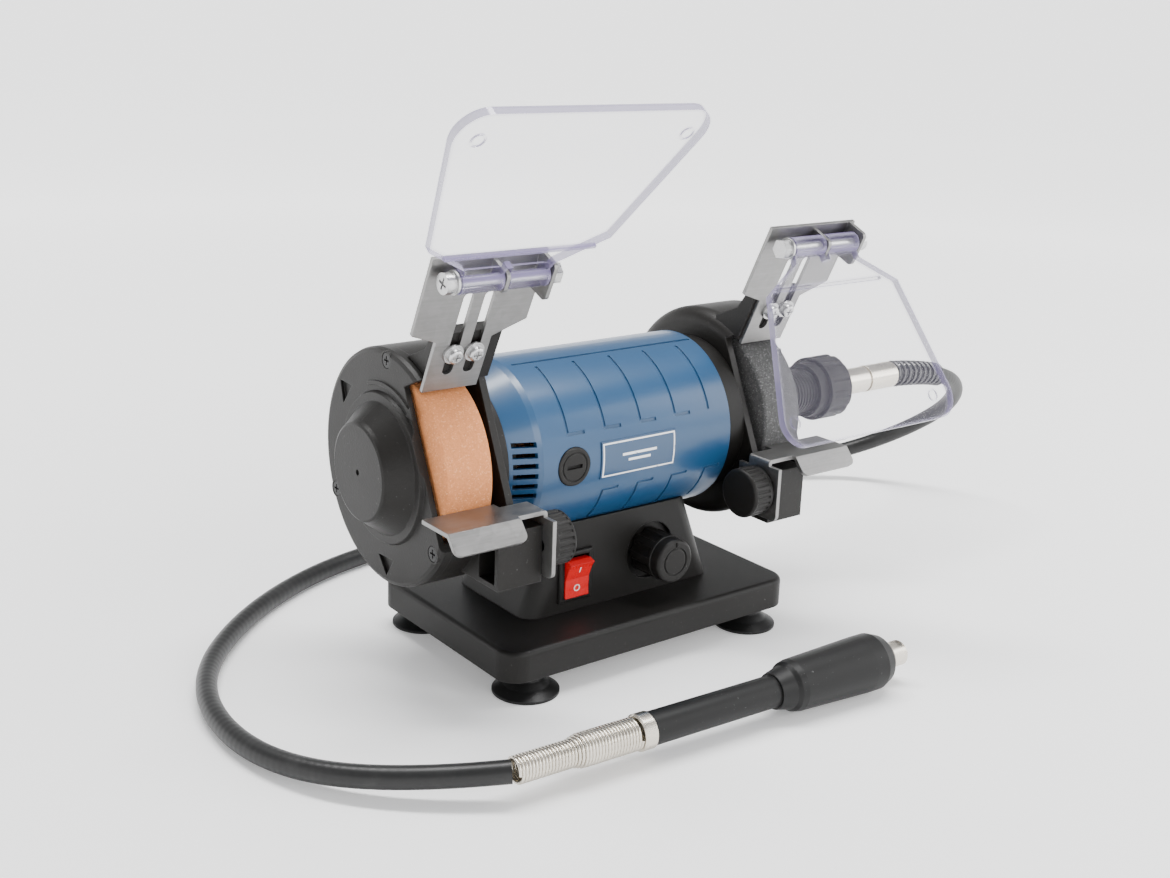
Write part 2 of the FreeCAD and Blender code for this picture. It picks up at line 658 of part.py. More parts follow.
def bearing():
    start = outwards(BELL_OUTER) + 2.0
    end = start + BEARING_WIDTH
    outer = tube_x(start, end, BEARING_RADIUS, BEARING_RADIUS - 2.0)
    inner = tube_x(start, end, BEARING_BORE + 2.0, BEARING_BORE)
    shield = tube_x(start + 0.5, end - 0.5, BEARING_RADIUS - 2.0, BEARING_BORE + 2.0)
    return joined([outer, shield, inner])


def stator_core():
    x0, x1 = STATOR_X - STATOR_LENGTH / 2, STATOR_X + STATOR_LENGTH / 2
    bore = DRUM_RADIUS - 8.0
    yoke = tube_x(x0, x1, DRUM_RADIUS - DRUM_WALL - 0.1, bore)
    shoe = tube_x(x0, x1, STATOR_BORE + 3.0, STATOR_BORE)
    poles = []
    for side in (-1, 1):
        z0, z1 = sorted((AXIS_HEIGHT + side * (STATOR_BORE + 1.0), AXIS_HEIGHT + side * (bore + 1.0)))
        poles.append(box(x0, x1, -POLE_HALF, POLE_HALF, z0, z1))
        z0, z1 = sorted((AXIS_HEIGHT + side * 8.0, AXIS_HEIGHT + side * 24.0))
        poles.append(shoe.common(box(x0, x1, -17.0, 17.0, z0, z1)))
    return joined([yoke] + poles)


def field_coils():
    x0, x1 = STATOR_X - STATOR_LENGTH / 2, STATOR_X + STATOR_LENGTH / 2
    coils = []
    for side in (-1, 1):
        low, high = sorted((AXIS_HEIGHT + side * (STATOR_BORE + 3.6), AXIS_HEIGHT + side * (STATOR_BORE + 7.4)))
        coil = box(x0 - 4.5, x1 + 4.5, -POLE_HALF - 4.8, POLE_HALF + 4.8, low, high)
        coil = coil.makeFillet(3.5, upright_edges(coil))
        coil = coil.cut(box(x0 - 0.2, x1 + 0.2, -POLE_HALF - 0.2, POLE_HALF + 0.2, low, high))
        coils.append(coil)
    return Part.makeCompound(coils)


def brush_holders():
    holders = []
    for side in (-1, 1):
        y0, y1 = sorted((side * 13.0, side * (DRUM_RADIUS - 5.0)))
        sleeve = box(BRUSH_X - 4.2, BRUSH_X + 4.2, y0, y1, AXIS_HEIGHT - 4.2, AXIS_HEIGHT + 4.2)
        disc = rod((BRUSH_X, side * (DRUM_RADIUS - 6.4), AXIS_HEIGHT), (0, side, 0), 1.4, BRUSH_CAP_RADIUS + 1.3)
        sleeve = sleeve.fuse(disc)
        holders.append(sleeve.cut(box(
            BRUSH_X - 3.2, BRUSH_X + 3.2, y0, y1, AXIS_HEIGHT - 3.2, AXIS_HEIGHT + 3.2)))
    return Part.makeCompound(holders)


def carbon_brushes():
    brushes = []
    for side in (-1, 1):
        y0, y1 = sorted((side * (COMMUTATOR_RADIUS - 2.0), side * 24.0))
        block = box(BRUSH_X - 3.1, BRUSH_X + 3.1, y0, y1, AXIS_HEIGHT - 3.1, AXIS_HEIGHT + 3.1)
        brushes.append(block.cut(rod_x(BRUSH_X - 5, BRUSH_X + 5, COMMUTATOR_RADIUS + RUN_GAP)))
    return Part.makeCompound(brushes)


def brush_cap(side):
    face = DRUM_RADIUS + 0.4
    cap = rod((BRUSH_X, side * (face - 5.2), AXIS_HEIGHT), (0, side, 0), 5.2, BRUSH_CAP_RADIUS)
    cap = cap.makeFillet(0.6, edges_at(cap, "Y", side * face))
    y0, y1 = sorted((side * (face - 1.4), side * (face + 1)))
    cap = cap.cut(box(BRUSH_X - 3.6, BRUSH_X + 3.6, y0, y1, AXIS_HEIGHT - 0.8, AXIS_HEIGHT + 0.8))
    ring = rod((BRUSH_X, side * (face - 0.4), AXIS_HEIGHT), (0, side, 0), 1.0, BRUSH_CAP_RADIUS - 1.6)
    ring = ring.cut(rod((BRUSH_X, side * (face - 0.4), AXIS_HEIGHT), (0, side, 0), 1.0, BRUSH_CAP_RADIUS - 2.3))
    return cap.cut(ring)


def badge():
    """A plain plate on the front of the drum."""
    half_width, half_height = 18.6, 7.4
    middle = -5.0
    slab = box(
        middle - half_width, middle + half_width, -60, 0,
        AXIS_HEIGHT - half_height, AXIS_HEIGHT + half_height)
    plate = tube_x(middle - half_width, middle + half_width, DRUM_RADIUS + 0.5, DRUM_RADIUS)
    return plate.common(slab)


# ---- spindle --------------------------------------------------------------------------------
def spindle_shaft():
    left_end = outwards(98.3)
    right_end = 2 * MIDDLE_X - outwards(102.5)
    seat_left = outwards(BELL_OUTER) + 2.0 + BEARING_WIDTH
    seat_right = 2 * MIDDLE_X - seat_left
    thin = rod_x(left_end, right_end, BEARING_BORE)
    thick = rod_x(seat_left, seat_right, SHAFT_RADIUS)
    return joined([thin, thick])


def rotor_core():
    x0, x1 = STATOR_X - STATOR_LENGTH / 2, STATOR_X + STATOR_LENGTH / 2
    core = tube_x(x0, x1, ROTOR_RADIUS, SHAFT_RADIUS)
    for n in range(12):
        turn = math.radians(30.0 * n)
        y = (ROTOR_RADIUS - 1.0) * math.cos(turn)
        z = AXIS_HEIGHT + (ROTOR_RADIUS - 1.0) * math.sin(turn)
        core = core.cut(rod_x(x0, x1, 1.4, y, z))
    return core


def rotor_windings():
    x0, x1 = STATOR_X - STATOR_LENGTH / 2, STATOR_X + STATOR_LENGTH / 2
    heads = []
    for face, away in ((x0, -1), (x1, 1)):
        inner, outer = sorted((face, face + away * 5.0))
        head = tube_x(inner, outer, ROTOR_RADIUS - 1.6, SHAFT_RADIUS)
        heads.append(head.makeFillet(2.0, edges_at(head, "X", face + away * 5.0)[:1]))
    return Part.makeCompound(heads)


def commutator():
    x0, x1 = BRUSH_X - 6.5, BRUSH_X + 6.5
    body = tube_x(x0, x1, COMMUTATOR_RADIUS, SHAFT_RADIUS)
    riser = tube_x(x1 - 1.5, x1, COMMUTATOR_RADIUS + 1.2, SHAFT_RADIUS)
    body = body.fuse(riser)
    for n in range(12):
        groove = box(x0, x1, -0.25, 0.25, COMMUTATOR_RADIUS - 0.8, COMMUTATOR_RADIUS + 2)
        groove.rotate(V(0, 0, 0), V(1, 0, 0), 30.0 * n)
        groove.translate(V(0, 0, AXIS_HEIGHT))
        body = body.cut(groove)
    return body


def cooling_fan():
    x0, x1 = 26.0, 36.0
    disc = tube_x(x1 - 1.5, x1, 28.0, SHAFT_RADIUS)
    hub = tube_x(x0, x1, 9.0, SHAFT_RADIUS)
    blades = []
    for n in range(9):
        blade = box(x0, x1 - 1.0, -0.8, 0.8, 8.0, 27.5)
        blade.rotate(V(0, 0, 0), V(1, 0, 0), 40.0 * n)
        blade.translate(V(0, 0, AXIS_HEIGHT))
        blades.append(blade)
    return joined([disc, hub] + blades)


def wheel():
    """The left wheel, with slightly broken outer corners."""
    x0 = outwards(WHEEL_OFFSET + WHEEL_WIDTH / 2)
    x1 = x0 + WHEEL_WIDTH
    disc = rod_x(x0, x1, WHEEL_RADIUS)
    rims = [e for x in (x0, x1) for e in edges_at(disc, "X", x)]
    disc = disc.makeChamfer(0.7, rims)
    return disc.cut(rod_x(x0, x1, WHEEL_BORE))


def wheel_flanges():
    """The two clamping flanges of the left wheel; the inner one carries the wheel's bore."""
    outer_face = outwards(WHEEL_OFFSET + WHEEL_WIDTH / 2)
    inner_face = outer_face + WHEEL_WIDTH
    bearing_face = outwards(BELL_OUTER) + 2.0
    inner = joined([
        rod_x(inner_face, inner_face + FLANGE_THICKNESS, FLANGE_RADIUS),
        rod_x(inner_face - 12.0, inner_face, WHEEL_BORE - RUN_GAP),
        rod_x(inner_face + FLANGE_THICKNESS, bearing_face, SHAFT_RADIUS),
    ])
    outer = rod_x(outer_face - FLANGE_THICKNESS, outer_face, FLANGE_RADIUS)
    bore = rod_x(outer_face - 20, bearing_face + 10, BEARING_BORE)
    return [inner.cut(bore), outer.cut(bore)]


def spindle_nut():
    face = outwards(WHEEL_OFFSET + WHEEL_WIDTH / 2 + FLANGE_THICKNESS)
    corner = NUT_FLATS / math.sqrt(3.0)
    points = [around_axis(60.0 * n, corner) for n in range(6)]
    nut = prism_x(points, face - NUT_HEIGHT, face)
    return nut.cut(rod_x(face - NUT_HEIGHT, face, BEARING_BORE))


def drive_socket():
    start = 2 * MIDDLE_X - outwards(WHEEL_OFFSET + WHEEL_WIDTH / 2 + FLANGE_THICKNESS + NUT_HEIGHT)
    shaft_end = 2 * MIDDLE_X - outwards(102.5)
    end = start + 22.0
    sleeve = rod_x(start, end, 5.8)
    sleeve = sleeve.cut(rod_x(start, shaft_end, BEARING_BORE))
    half = 2.0 + RUN_GAP
    return sleeve.cut(box(shaft_end + 1.5, end, -half, half, AXIS_HEIGHT - half, AXIS_HEIGHT + half))


def drive_core():
    """The squared end of the flexible inner core and its straight part, up to the free shaft."""
    shaft_end = 2 * MIDDLE_X - outwards(102.5)
    square = box(shaft_end + 2.0, COUPLING_NECK_END - 4.0, -2.0, 2.0, AXIS_HEIGHT - 2.0, AXIS_HEIGHT + 2.0)
    return square.fuse(rod_x(COUPLING_NECK_END - 4.0, FERRULE_END - 1.0, CORE_RADIUS)).removeSplitter()


# ---- wheel guards ---------------------------------------------------------------------------
def opening_cut(distance, x0, x1):
    """Everything in front of a plane across the opening's direction."""
    block = box(x0, x1, -100, -distance, -100, OPENING_TOP)
    block.rotate(V(0, 0, 0), V(1, 0, 0), -OPENING_ANGLE)
    block.translate(V(0, 0, AXIS_HEIGHT))
    return block


def on_deflector(s, t, scale=1.0):
    """A (y, z) point given along the deflector plate (s) and in front of its back face (t)."""
    lean = math.radians(LEAN)
    y = TONGUE_Y - s * math.sin(lean) - t * math.cos(lean)
    z = AXIS_HEIGHT + TONGUE_Z + s * math.cos(lean) - t * math.sin(lean)
    return y * scale, z


def guard_shell():
    back = outwards(GUARD_BACK)
    edge = outwards(GUARD_EDGE)
    wall = GUARD_WALL
    inside = GUARD_RADIUS - wall
    outer = rod_x(edge, back, GUARD_RADIUS)
    outer = outer.makeFillet(GUARD_ROUND, edges_at(outer, "X", back))
    hollow = rod_x(edge, back - GUARD_PLATE, inside)
    hollow = hollow.makeFillet(GUARD_ROUND - wall, edges_at(hollow, "X", back - GUARD_PLATE))
    shell = outer.cut(hollow)
    shell = shell.cut(rod_x(back - GUARD_PLATE - 1, back + 1, GUARD_HOLE))
    for angle in COVER_SCREW_ANGLES:
        y, z = around_axis(angle, COVER_SCREW_CIRCLE)
        post = rod_x(edge, back - GUARD_PLATE, 2.9, y, z)
        shell = shell.fuse(post)
    cheek = back - GUARD_PLATE - GUARD_ROUND + wall
    shell = shell.cut(opening_cut(OPENING_INNER, edge - 1, back + 1))
    return shell.cut(opening_cut(OPENING_OUTER, edge - 1, cheek))


def deflector_pad():
    """The bracket on top of the guard that the spark deflector is screwed to."""
    middle = outwards(TONGUE_OFFSET)
    start = middle - TONGUE_WIDTH / 2 + 0.5
    end = outwards(GUARD_BACK) - GUARD_PLATE + 1.0
    outline = [
        on_deflector(2.0, 0.0), on_deflector(24.0, 0.0), on_deflector(24.0, -4.5),
        on_deflector(13.0, -6.5), around_axis(103.0, GUARD_RADIUS), around_axis(105.0, GUARD_RADIUS - 3.0),
        around_axis(115.0, GUARD_RADIUS - 4.0),
    ]
    pad = prism_x(outline, start, end)
    return pad.cut(rod_x(start - 1, outwards(GUARD_EDGE), GUARD_RADIUS + LOOSE_GAP))


def drilled_for_deflector(body, middle):
    y, z = on_deflector(DEFLECTOR_SCREW_S, 0.0)
    lean = math.radians(LEAN)
    for x in deflector_screw_places(middle):
        body = body.cut(rod((x, y, z), (0, math.cos(lean), math.sin(lean)), 5.5, 1.5 + SCREW_GAP))
    return body


def deflector_screw_places(middle):
    return [middle + SLOT_MIDDLE - SLOT_PITCH / 2, middle + SLOT_MIDDLE + SLOT_PITCH / 2]


def rest_bracket():
    """The open box in front of the guard that carries the tool rest."""
    inner, outer = outwards(BOX_INNER), outwards(BOX_OUTER)
    wall = BOX_WALL
    case = box(outer, inner, BOX_FRONT, BOX_BACK, BOX_BOTTOM, BOX_TOP)
    root = box(outer, inner, BOX_FRONT, -30.0, BOX_BOTTOM, BOX_BOTTOM + 9.0)
    case = case.fuse(root)
    case = case.cut(box(
        outer - 1, inner - wall, BOX_FRONT + wall, BOX_BACK - wall, BOX_BOTTOM + wall, BOX_TOP - wall))
    case = case.cut(rod_x(inner - wall, inner, REST_STUD_RADIUS + RUN_GAP, REST_STUD_Y, REST_STUD_Z))
    return case.cut(rod_x(outer - 1, inner + 1, GUARD_RADIUS - GUARD_WALL))


def guard():
    body = joined([guard_shell(), deflector_pad(), rest_bracket()])
    edge = outwards(GUARD_EDGE)
    for angle in COVER_SCREW_ANGLES:
        y, z = around_axis(angle, COVER_SCREW_CIRCLE)
        body = body.cut(rod_x(edge, edge + 10.0, 1.5 + SCREW_GAP, y, z))
    return body


def guard_cover():
    rim = outwards(GUARD_EDGE)
    face = outwards(COVER_FACE)
    boss = outwards(BOSS_FACE)
    wall = COVER_WALL
    cover = turned([
        (rim, GUARD_RADIUS), (face + 2.0, GUARD_RADIUS), (face + 0.5, GUARD_RADIUS - 0.6),
        (face, GUARD_RADIUS - 2.0), (face, BOSS_FOOT + 1.6), (face - 1.6, BOSS_FOOT + 0.8),
        (face - 1.6, BOSS_FOOT - 2.2), (boss + 1.8, BOSS_RADIUS + 1.6), (boss + 0.4, BOSS_RADIUS + 0.8),
        (boss, BOSS_RADIUS), (boss, 0.0), (boss + wall, 0.0), (boss + wall, BOSS_RADIUS - 0.8),
        (face + wall - 1.6, BOSS_FOOT - 3.6), (face + wall, BOSS_FOOT - 2.2),
        (face + wall, GUARD_RADIUS - GUARD_WALL), (rim, GUARD_RADIUS - GUARD_WALL),
    ])
    cover = cover.cut(opening_cut(OPENING_OUTER, face - 2, rim + 1))
    for angle in COVER_SCREW_ANGLES:
        y, z = around_axis(angle, COVER_SCREW_CIRCLE)
        seat = rod_x(face, rim, 3.6, y, z).common(rod_x(face, rim, GUARD_RADIUS - 0.2))
        cover = cover.fuse(seat)
        cover = cover.cut(rod_x(face - 1, face + 1.6, 3.0, y, z))
        cover = cover.cut(rod_x(face, rim, 1.5 + SCREW_GAP, y, z))
    for angle in POCKET_ANGLES:
        outline = [
            around_axis(angle, GUARD_RADIUS - 3.2), around_axis(angle - 9.0, GUARD_RADIUS - 10.0),
            around_axis(angle + 9.0, GUARD_RADIUS - 10.0)]
        cover = cover.cut(prism_x(outline, face - 1, face + POCKET_DEPTH))
    dimple = rod_x(boss - 1, boss + 0.8, 1.1)
    return joined([cover.cut(dimple), turning_arrow()])


def turning_arrow():
    """A raised arrow round the boss that shows which way the wheel turns."""
    face = outwards(COVER_FACE)
    y, z = around_axis(70.0, 1.0)
    height, low, high = 0.6, 31.0, 32.6
    corners = []
    for x, radius in ((face + 0.2, low), (face - height, low), (face - height, high), (face + 0.2, high)):
        corners.append((x, y * radius, AXIS_HEIGHT + (z - AXIS_HEIGHT) * radius))
    band = polygon(corners).revolve(V(0, 0, AXIS_HEIGHT), V(1, 0, 0), 55.0)
    middle = (low + high) / 2
    head = [around_axis(125.0, middle - 2.4), around_axis(125.0, middle + 2.4), around_axis(132.5, middle)]
    return band.fuse(prism_x(head, face - height, face + 0.2))


def cover_screw(angle):
    face = outwards(COVER_FACE)
    y, z = around_axis(angle, COVER_SCREW_CIRCLE)
    head = rod_x(face + 0.1, face + 1.6, 2.8, y, z)
    shank = rod_x(face + 1.6, face + 13.0, 1.5, y, z)
    cross = box(face, face + 0.9, y - 1.7, y + 1.7, z - 0.35, z + 0.35)
    cross = cross.fuse(box(face, face + 0.9, y - 0.35, y + 0.35, z - 1.7, z + 1.7))
    return head.fuse(shank).cut(cross)


def right_guard_cover():
    """The right cover opens into the threaded neck that the flexible shaft screws on to."""
    cover = mirrored(guard_cover())
    boss = 2 * MIDDLE_X - outwards(BOSS_FACE)
    neck = rod_x(boss - COVER_WALL, COUPLING_NECK_END, COUPLING_NECK)
    thread = [
        tube_x(x, x + 0.9, COUPLING_NECK + 1, COUPLING_NECK - 0.5)
        for x in (COUPLING_NECK_END - 2.2 - 1.8 * n for n in range(8))
    ]
    bore = rod_x(boss - COVER_WALL - 1, COUPLING_NECK_END + 1, COUPLING_NECK - 3.0)
    neck = neck.cut(Part.makeCompound(thread))
    return cover.fuse(neck).cut(bore).removeSplitter()


# ---- spark deflectors and eye shields -------------------------------------------------------
def left_middle():
    return outwards(TONGUE_OFFSET) + TONGUE_SHIFT


def right_middle():
    return 2 * MIDDLE_X - outwards(TONGUE_OFFSET) + TONGUE_SHIFT


def deflector_blank():
    """The flat plate, drawn with X across, Y along the plate and Z towards the user."""
    half = TONGUE_WIDTH / 2
    outline = [
        (-half, 0.0), (half, 0.0), (half, TONGUE_LENGTH), (PLATE_RIGHT, TONGUE_LENGTH + 6.0),
        (PLATE_RIGHT, PLATE_TOP), (PLATE_LEFT, PLATE_TOP), (PLATE_LEFT, TONGUE_LENGTH + 4.0),
        (-half, TONGUE_LENGTH),
    ]
    plate = polygon([(x, s, 0.0) for x, s in outline]).extrude(V(0, 0, PLATE))
    for x in (SLOT_MIDDLE - SLOT_PITCH / 2, SLOT_MIDDLE + SLOT_PITCH / 2):
        radius = SLOT_WIDTH / 2
        slot = box(x - radius, x + radius, SLOT_LOW + radius, SLOT_HIGH - radius, -1, PLATE + 1)
        slot = slot.fuse(rod((x, SLOT_LOW + radius, -1), (0, 0, 1), PLATE + 2, radius))
        slot = slot.fuse(rod((x, SLOT_HIGH - radius, -1), (0, 0, 1), PLATE + 2, radius))
        plate = plate.cut(slot)
    return plate


def deflector():
    plate = deflector_blank()
    ears = []
    for x, low, high in ((HINGE_OFFSET - PLATE / 2, HINGE_UP - 4.0, HINGE_UP + 4.0),
                         (HINGE_OFFSET + BARREL_HALF, HINGE_UP - 9.0, HINGE_UP + 6.0)):
        ear = box(x, x + PLATE, low, high, 0.0, HINGE_FORWARD + 4.2)
        ears.append(ear.makeFillet(2.0, [e for e in ear.Edges if e.BoundBox.XLength > PLATE - 0.01
                                         and e.BoundBox.ZMin > HINGE_FORWARD]))
    bore = rod((-60, HINGE_UP, HINGE_FORWARD), (1, 0, 0), 120, BOLT_RADIUS + RUN_GAP)
    return joined([plate] + ears).cut(bore)


def shield_bolt(head_side):
    """The hinge bolt with its washers, spacer sleeves and nut; head_side is -1 for a head at the left."""
    start, end = HINGE_OFFSET - BARREL_HALF, HINGE_OFFSET + BARREL_HALF
    right_face = end + PLATE
    centre = (HINGE_UP, HINGE_FORWARD)

    def part(x0, x1, radius):
        return rod((x0, centre[0], centre[1]), (1, 0, 0), x1 - x0, radius)

    bolt = part(start - 4.2, right_face + 3.6, BOLT_RADIUS - RUN_GAP)
    washers = [part(start - 1.2, start - 0.4, 4.2), part(right_face, right_face + 0.8, 4.0)]
    spring = [part(start - 2.4, start - 1.2, 3.4)]
    head_at_left = part(start - 5.0, start - 2.4, 3.7)
    head_at_right = part(right_face + 0.8, right_face + 3.4, 3.7)
    nut_points = [(math.cos(math.radians(60 * n)) * 4.0, math.sin(math.radians(60 * n)) * 4.0) for n in range(6)]

    def nut(x0, x1):
        outline = [(x0, HINGE_UP + a, HINGE_FORWARD + b) for a, b in nut_points]
        return polygon(outline).extrude(V(x1 - x0, 0, 0))

    if head_side < 0:
        head, far = head_at_left, nut(right_face + 0.8, right_face + 3.6)
        slot_x = start - 5.0
        cross_x0, cross_x1 = slot_x, slot_x + 1.0
    else:
        head, far = head_at_right, nut(start - 5.0, start - 2.4)
        slot_x = right_face + 3.4
        cross_x0, cross_x1 = slot_x - 1.0, slot_x
    cross = box(cross_x0, cross_x1, HINGE_UP - 2.2, HINGE_UP + 2.2, HINGE_FORWARD - 0.4, HINGE_FORWARD + 0.4)
    cross = cross.fuse(box(
        cross_x0, cross_x1, HINGE_UP - 0.4, HINGE_UP + 0.4, HINGE_FORWARD - 2.2, HINGE_FORWARD + 2.2))
    return joined([bolt, head, far] + washers + spring).cut(cross)


def shield():
    """The eye shield, drawn with its hinge on X, Y along the shield and Z towards its outer face."""
    half = SHIELD_HALF_WIDTH
    outline = [
        (-SHIELD_NECK + 1.0, 2.0), (SHIELD_NECK - 1.0, 2.0), (SHIELD_NECK, 7.0),
        (SHIELD_SHOULDER, SHIELD_SHOULDER_S), (half, SHIELD_TOP_S), (-half, SHIELD_TOP_S),
        (-SHIELD_SHOULDER, SHIELD_SHOULDER_S), (-SHIELD_NECK, 7.0),
    ]
    low = -SHIELD_THICKNESS / 2
    plate = polygon([(x, s, low) for x, s in outline]).extrude(V(0, 0, SHIELD_THICKNESS))
    blunt = [e for e in upright_edges(plate) if e.BoundBox.YMin > SHIELD_TOP_S - 1]
    plate = plate.makeFillet(SHIELD_CORNER, blunt)
    gap = PLATE / 2 + 0.35
    barrels = []
    for x0, x1 in ((-BARREL_HALF + 0.4, -gap), (gap, BARREL_HALF - 0.4)):
        barrels.append(rod((x0, 0, 0), (1, 0, 0), x1 - x0, BARREL_RADIUS))
    plate = joined([plate] + barrels)
    plate = plate.cut(box(-gap, gap, -6, 6.6, -6, 6))
    for x, s in ((half - 11.0, SHIELD_TOP_S - 10.0), (11.0 - half, SHIELD_TOP_S - 10.0)):
        ring = rod((x, s, -low), (0, 0, 1), 0.4, 2.6).cut(rod((x, s, -low), (0, 0, 1), 0.4, 2.1))
        plate = plate.fuse(ring)
    rib = box(-SHIELD_SHOULDER + 6.0, SHIELD_SHOULDER - 6.0, 15.0, 16.2, -low - 0.2, -low + 1.6)
    plate = plate.fuse(rib)
    return plate.cut(rod((-60, 0, 0), (1, 0, 0), 120, BOLT_RADIUS + RUN_GAP)).removeSplitter()


def hinge_place():
    return on_deflector(HINGE_UP, HINGE_FORWARD)


def deflector_screws():
    """Two screws with washers for each deflector, through its slots into the guard."""
    screws = []
    for middle in (left_middle(), right_middle()):
        for x in deflector_screw_places(middle):
            head = rod((x, DEFLECTOR_SCREW_S, PLATE + 1.1), (0, 0, 1), 2.2, 2.9)
            head = head.makeFillet(1.0, edges_at(head, "Z", PLATE + 3.3))
            washer = rod((x, DEFLECTOR_SCREW_S, PLATE + 0.05), (0, 0, 1), 1.05, 3.9)
            shank = rod((x, DEFLECTOR_SCREW_S, -5.0), (0, 0, 1), PLATE + 6.2, 1.5)
            cross = box(x - 1.6, x + 1.6, DEFLECTOR_SCREW_S - 0.3, DEFLECTOR_SCREW_S + 0.3, PLATE + 2.4, 9)
            cross = cross.fuse(box(
                x - 0.3, x + 0.3, DEFLECTOR_SCREW_S - 1.6, DEFLECTOR_SCREW_S + 1.6, PLATE + 2.4, 9))
            screw = joined([head, washer, shank]).cut(cross)
            screws.append(swung(screw, 90.0 + LEAN, TONGUE_Y, AXIS_HEIGHT + TONGUE_Z))
    return Part.makeCompound(screws)


def placed_on_guard(shape, middle):
    moved = swung(shape, 90.0 + LEAN, TONGUE_Y, AXIS_HEIGHT + TONGUE_Z)
    moved.translate(V(middle, 0, 0))
    return moved


def placed_shield(angle, middle):
    y, z = hinge_place()
    moved = swung(shield(), angle, y, z)
    moved.translate(V(middle + HINGE_OFFSET, 0, 0))
    return moved


# ---- tool rests -----------------------------------------------------------------------------
def rest_back():
    """The rest's back edge stands just clear of the wheel."""
    drop = AXIS_HEIGHT - REST_TOP
    return -math.sqrt(WHEEL_RADIUS ** 2 - drop ** 2) - REST_BACK_GAP


def tool_rest():
    """The left rest: one bent sheet with a top, a front lip and a slotted flange."""
    t = REST_THICKNESS
    back = rest_back()
    front = back - REST_DEPTH
    x_out, x_in = outwards(REST_OUTER), outwards(REST_INNER)
    x_flange = outwards(REST_FLANGE)
    slope = math.hypot(REST_LIP_DROP, REST_LIP_REACH)
    dy, dz = REST_LIP_REACH / slope, REST_LIP_DROP / slope
    lip_end = (front - REST_LIP_REACH, REST_TOP - REST_LIP_DROP)
    section = [
        (back, REST_TOP), (front, REST_TOP), lip_end, (lip_end[0] + dz * t, lip_end[1] - dy * t),
        (front + 0.4 * t, REST_TOP - t), (back, REST_TOP - t),
    ]
    top = prism_x(section, x_out, x_in)
    lip_corners = [e for e in top.Edges if e.BoundBox.XLength < 0.01
                   and e.BoundBox.YMax < front - REST_LIP_REACH + 1.6 and e.Length < 1.1 * t]
    top = top.makeFillet(3.0, lip_corners)
    shelf = box(x_in - 0.5, x_flange, front + 2.0, REST_SHELF_BACK, REST_TOP - t, REST_TOP)
    flange = box(
        x_flange - t, x_flange, REST_FLANGE_FRONT, REST_FLANGE_BACK, REST_FLANGE_BOTTOM, REST_TOP)
    flange = flange.cut(box(
        x_flange - 5, x_flange + 5, REST_FLANGE_FRONT - 1, front + 2.0, REST_TOP - 2.5, REST_TOP + 9))
    flange = flange.cut(box(
        x_flange - 5, x_flange + 5, REST_SHELF_BACK, REST_FLANGE_BACK + 1, REST_TOP - 4.5, REST_TOP + 9))
    lower = [e for e in flange.Edges if e.BoundBox.XLength > t - 0.01 
             and e.BoundBox.ZMax < REST_FLANGE_BOTTOM + 0.5]
    flange = flange.makeFillet(2.5, lower)
    radius = REST_STUD_RADIUS + LOOSE_GAP
    slot = box(
        x_flange - 5, x_flange + 5, REST_SLOT_FRONT + radius, REST_SLOT_BACK - radius,
        REST_STUD_Z - radius, REST_STUD_Z + radius)
    for y in (REST_SLOT_FRONT + radius, REST_SLOT_BACK - radius):
        slot = slot.fuse(rod_x(x_flange - 5, x_flange + 5, radius, y, REST_STUD_Z))
    rest = joined([top, shelf, flange.cut(slot)])
    bend = [e for e in rest.Edges if e.BoundBox.XLength < 0.01 and e.BoundBox.ZLength < 0.01
            and abs(e.BoundBox.ZMin - REST_TOP) < 0.01 and abs(e.BoundBox.XMin - x_flange) < 0.01]
    return rest.makeFillet(1.4, bend)


def rest_knob():
    """The left clamping knob with its stud, which screws into the rest bracket."""
    seat = outwards(REST_FLANGE) + 0.1
    end = seat + REST_KNOB_LENGTH
    body = rod_x(seat + 1.0, end, REST_KNOB_RADIUS, REST_STUD_Y, REST_STUD_Z)
    body = body.makeFillet(1.2, edges_at(body, "X", end))
    for n in range(24):
        turn = math.radians(15.0 * n)
        y = REST_STUD_Y + (REST_KNOB_RADIUS + 0.35) * math.cos(turn)
        z = REST_STUD_Z + (REST_KNOB_RADIUS + 0.35) * math.sin(turn)
        body = body.cut(rod_x(seat + 2.5, end - 1.4, 0.8, y, z))
    collar = rod_x(seat, seat + 1.0, REST_STUD_RADIUS + 3.0, REST_STUD_Y, REST_STUD_Z)
    stud_end = outwards(BOX_INNER) - BOX_WALL - 6.0
    stud = rod_x(stud_end, seat, REST_STUD_RADIUS, REST_STUD_Y, REST_STUD_Z)
    return joined([body, collar, stud])


# ---- flexible shaft -------------------------------------------------------------------------
def coupling_nut():
    """The ribbed union nut that pulls the shaft's ferrule on to the machine's neck."""
    start, end = COUPLING_START, COUPLING_END
    ridge_start = start + 5.0
    body = turned([
        (start, COUPLING_NECK + LOOSE_GAP), (start, 12.3), (ridge_start, 12.6),
        (ridge_start, COUPLING_RADIUS), (end - 1.5, COUPLING_RADIUS), (end, COUPLING_RADIUS - 1.5),
        (end, FERRULE_RADIUS + LOOSE_GAP), (end - 10.4, FERRULE_RADIUS + LOOSE_GAP),
        (end - 10.4, COUPLING_NECK + LOOSE_GAP),
    ])
    for n in range(12):
        turn = math.radians(30.0 * n)
        y = (COUPLING_RADIUS + 1.3) * math.cos(turn)
        z = AXIS_HEIGHT + (COUPLING_RADIUS + 1.3) * math.sin(turn)
        body = body.cut(rod_x(ridge_start + 1.5, end, 2.2, y, z))
    return body


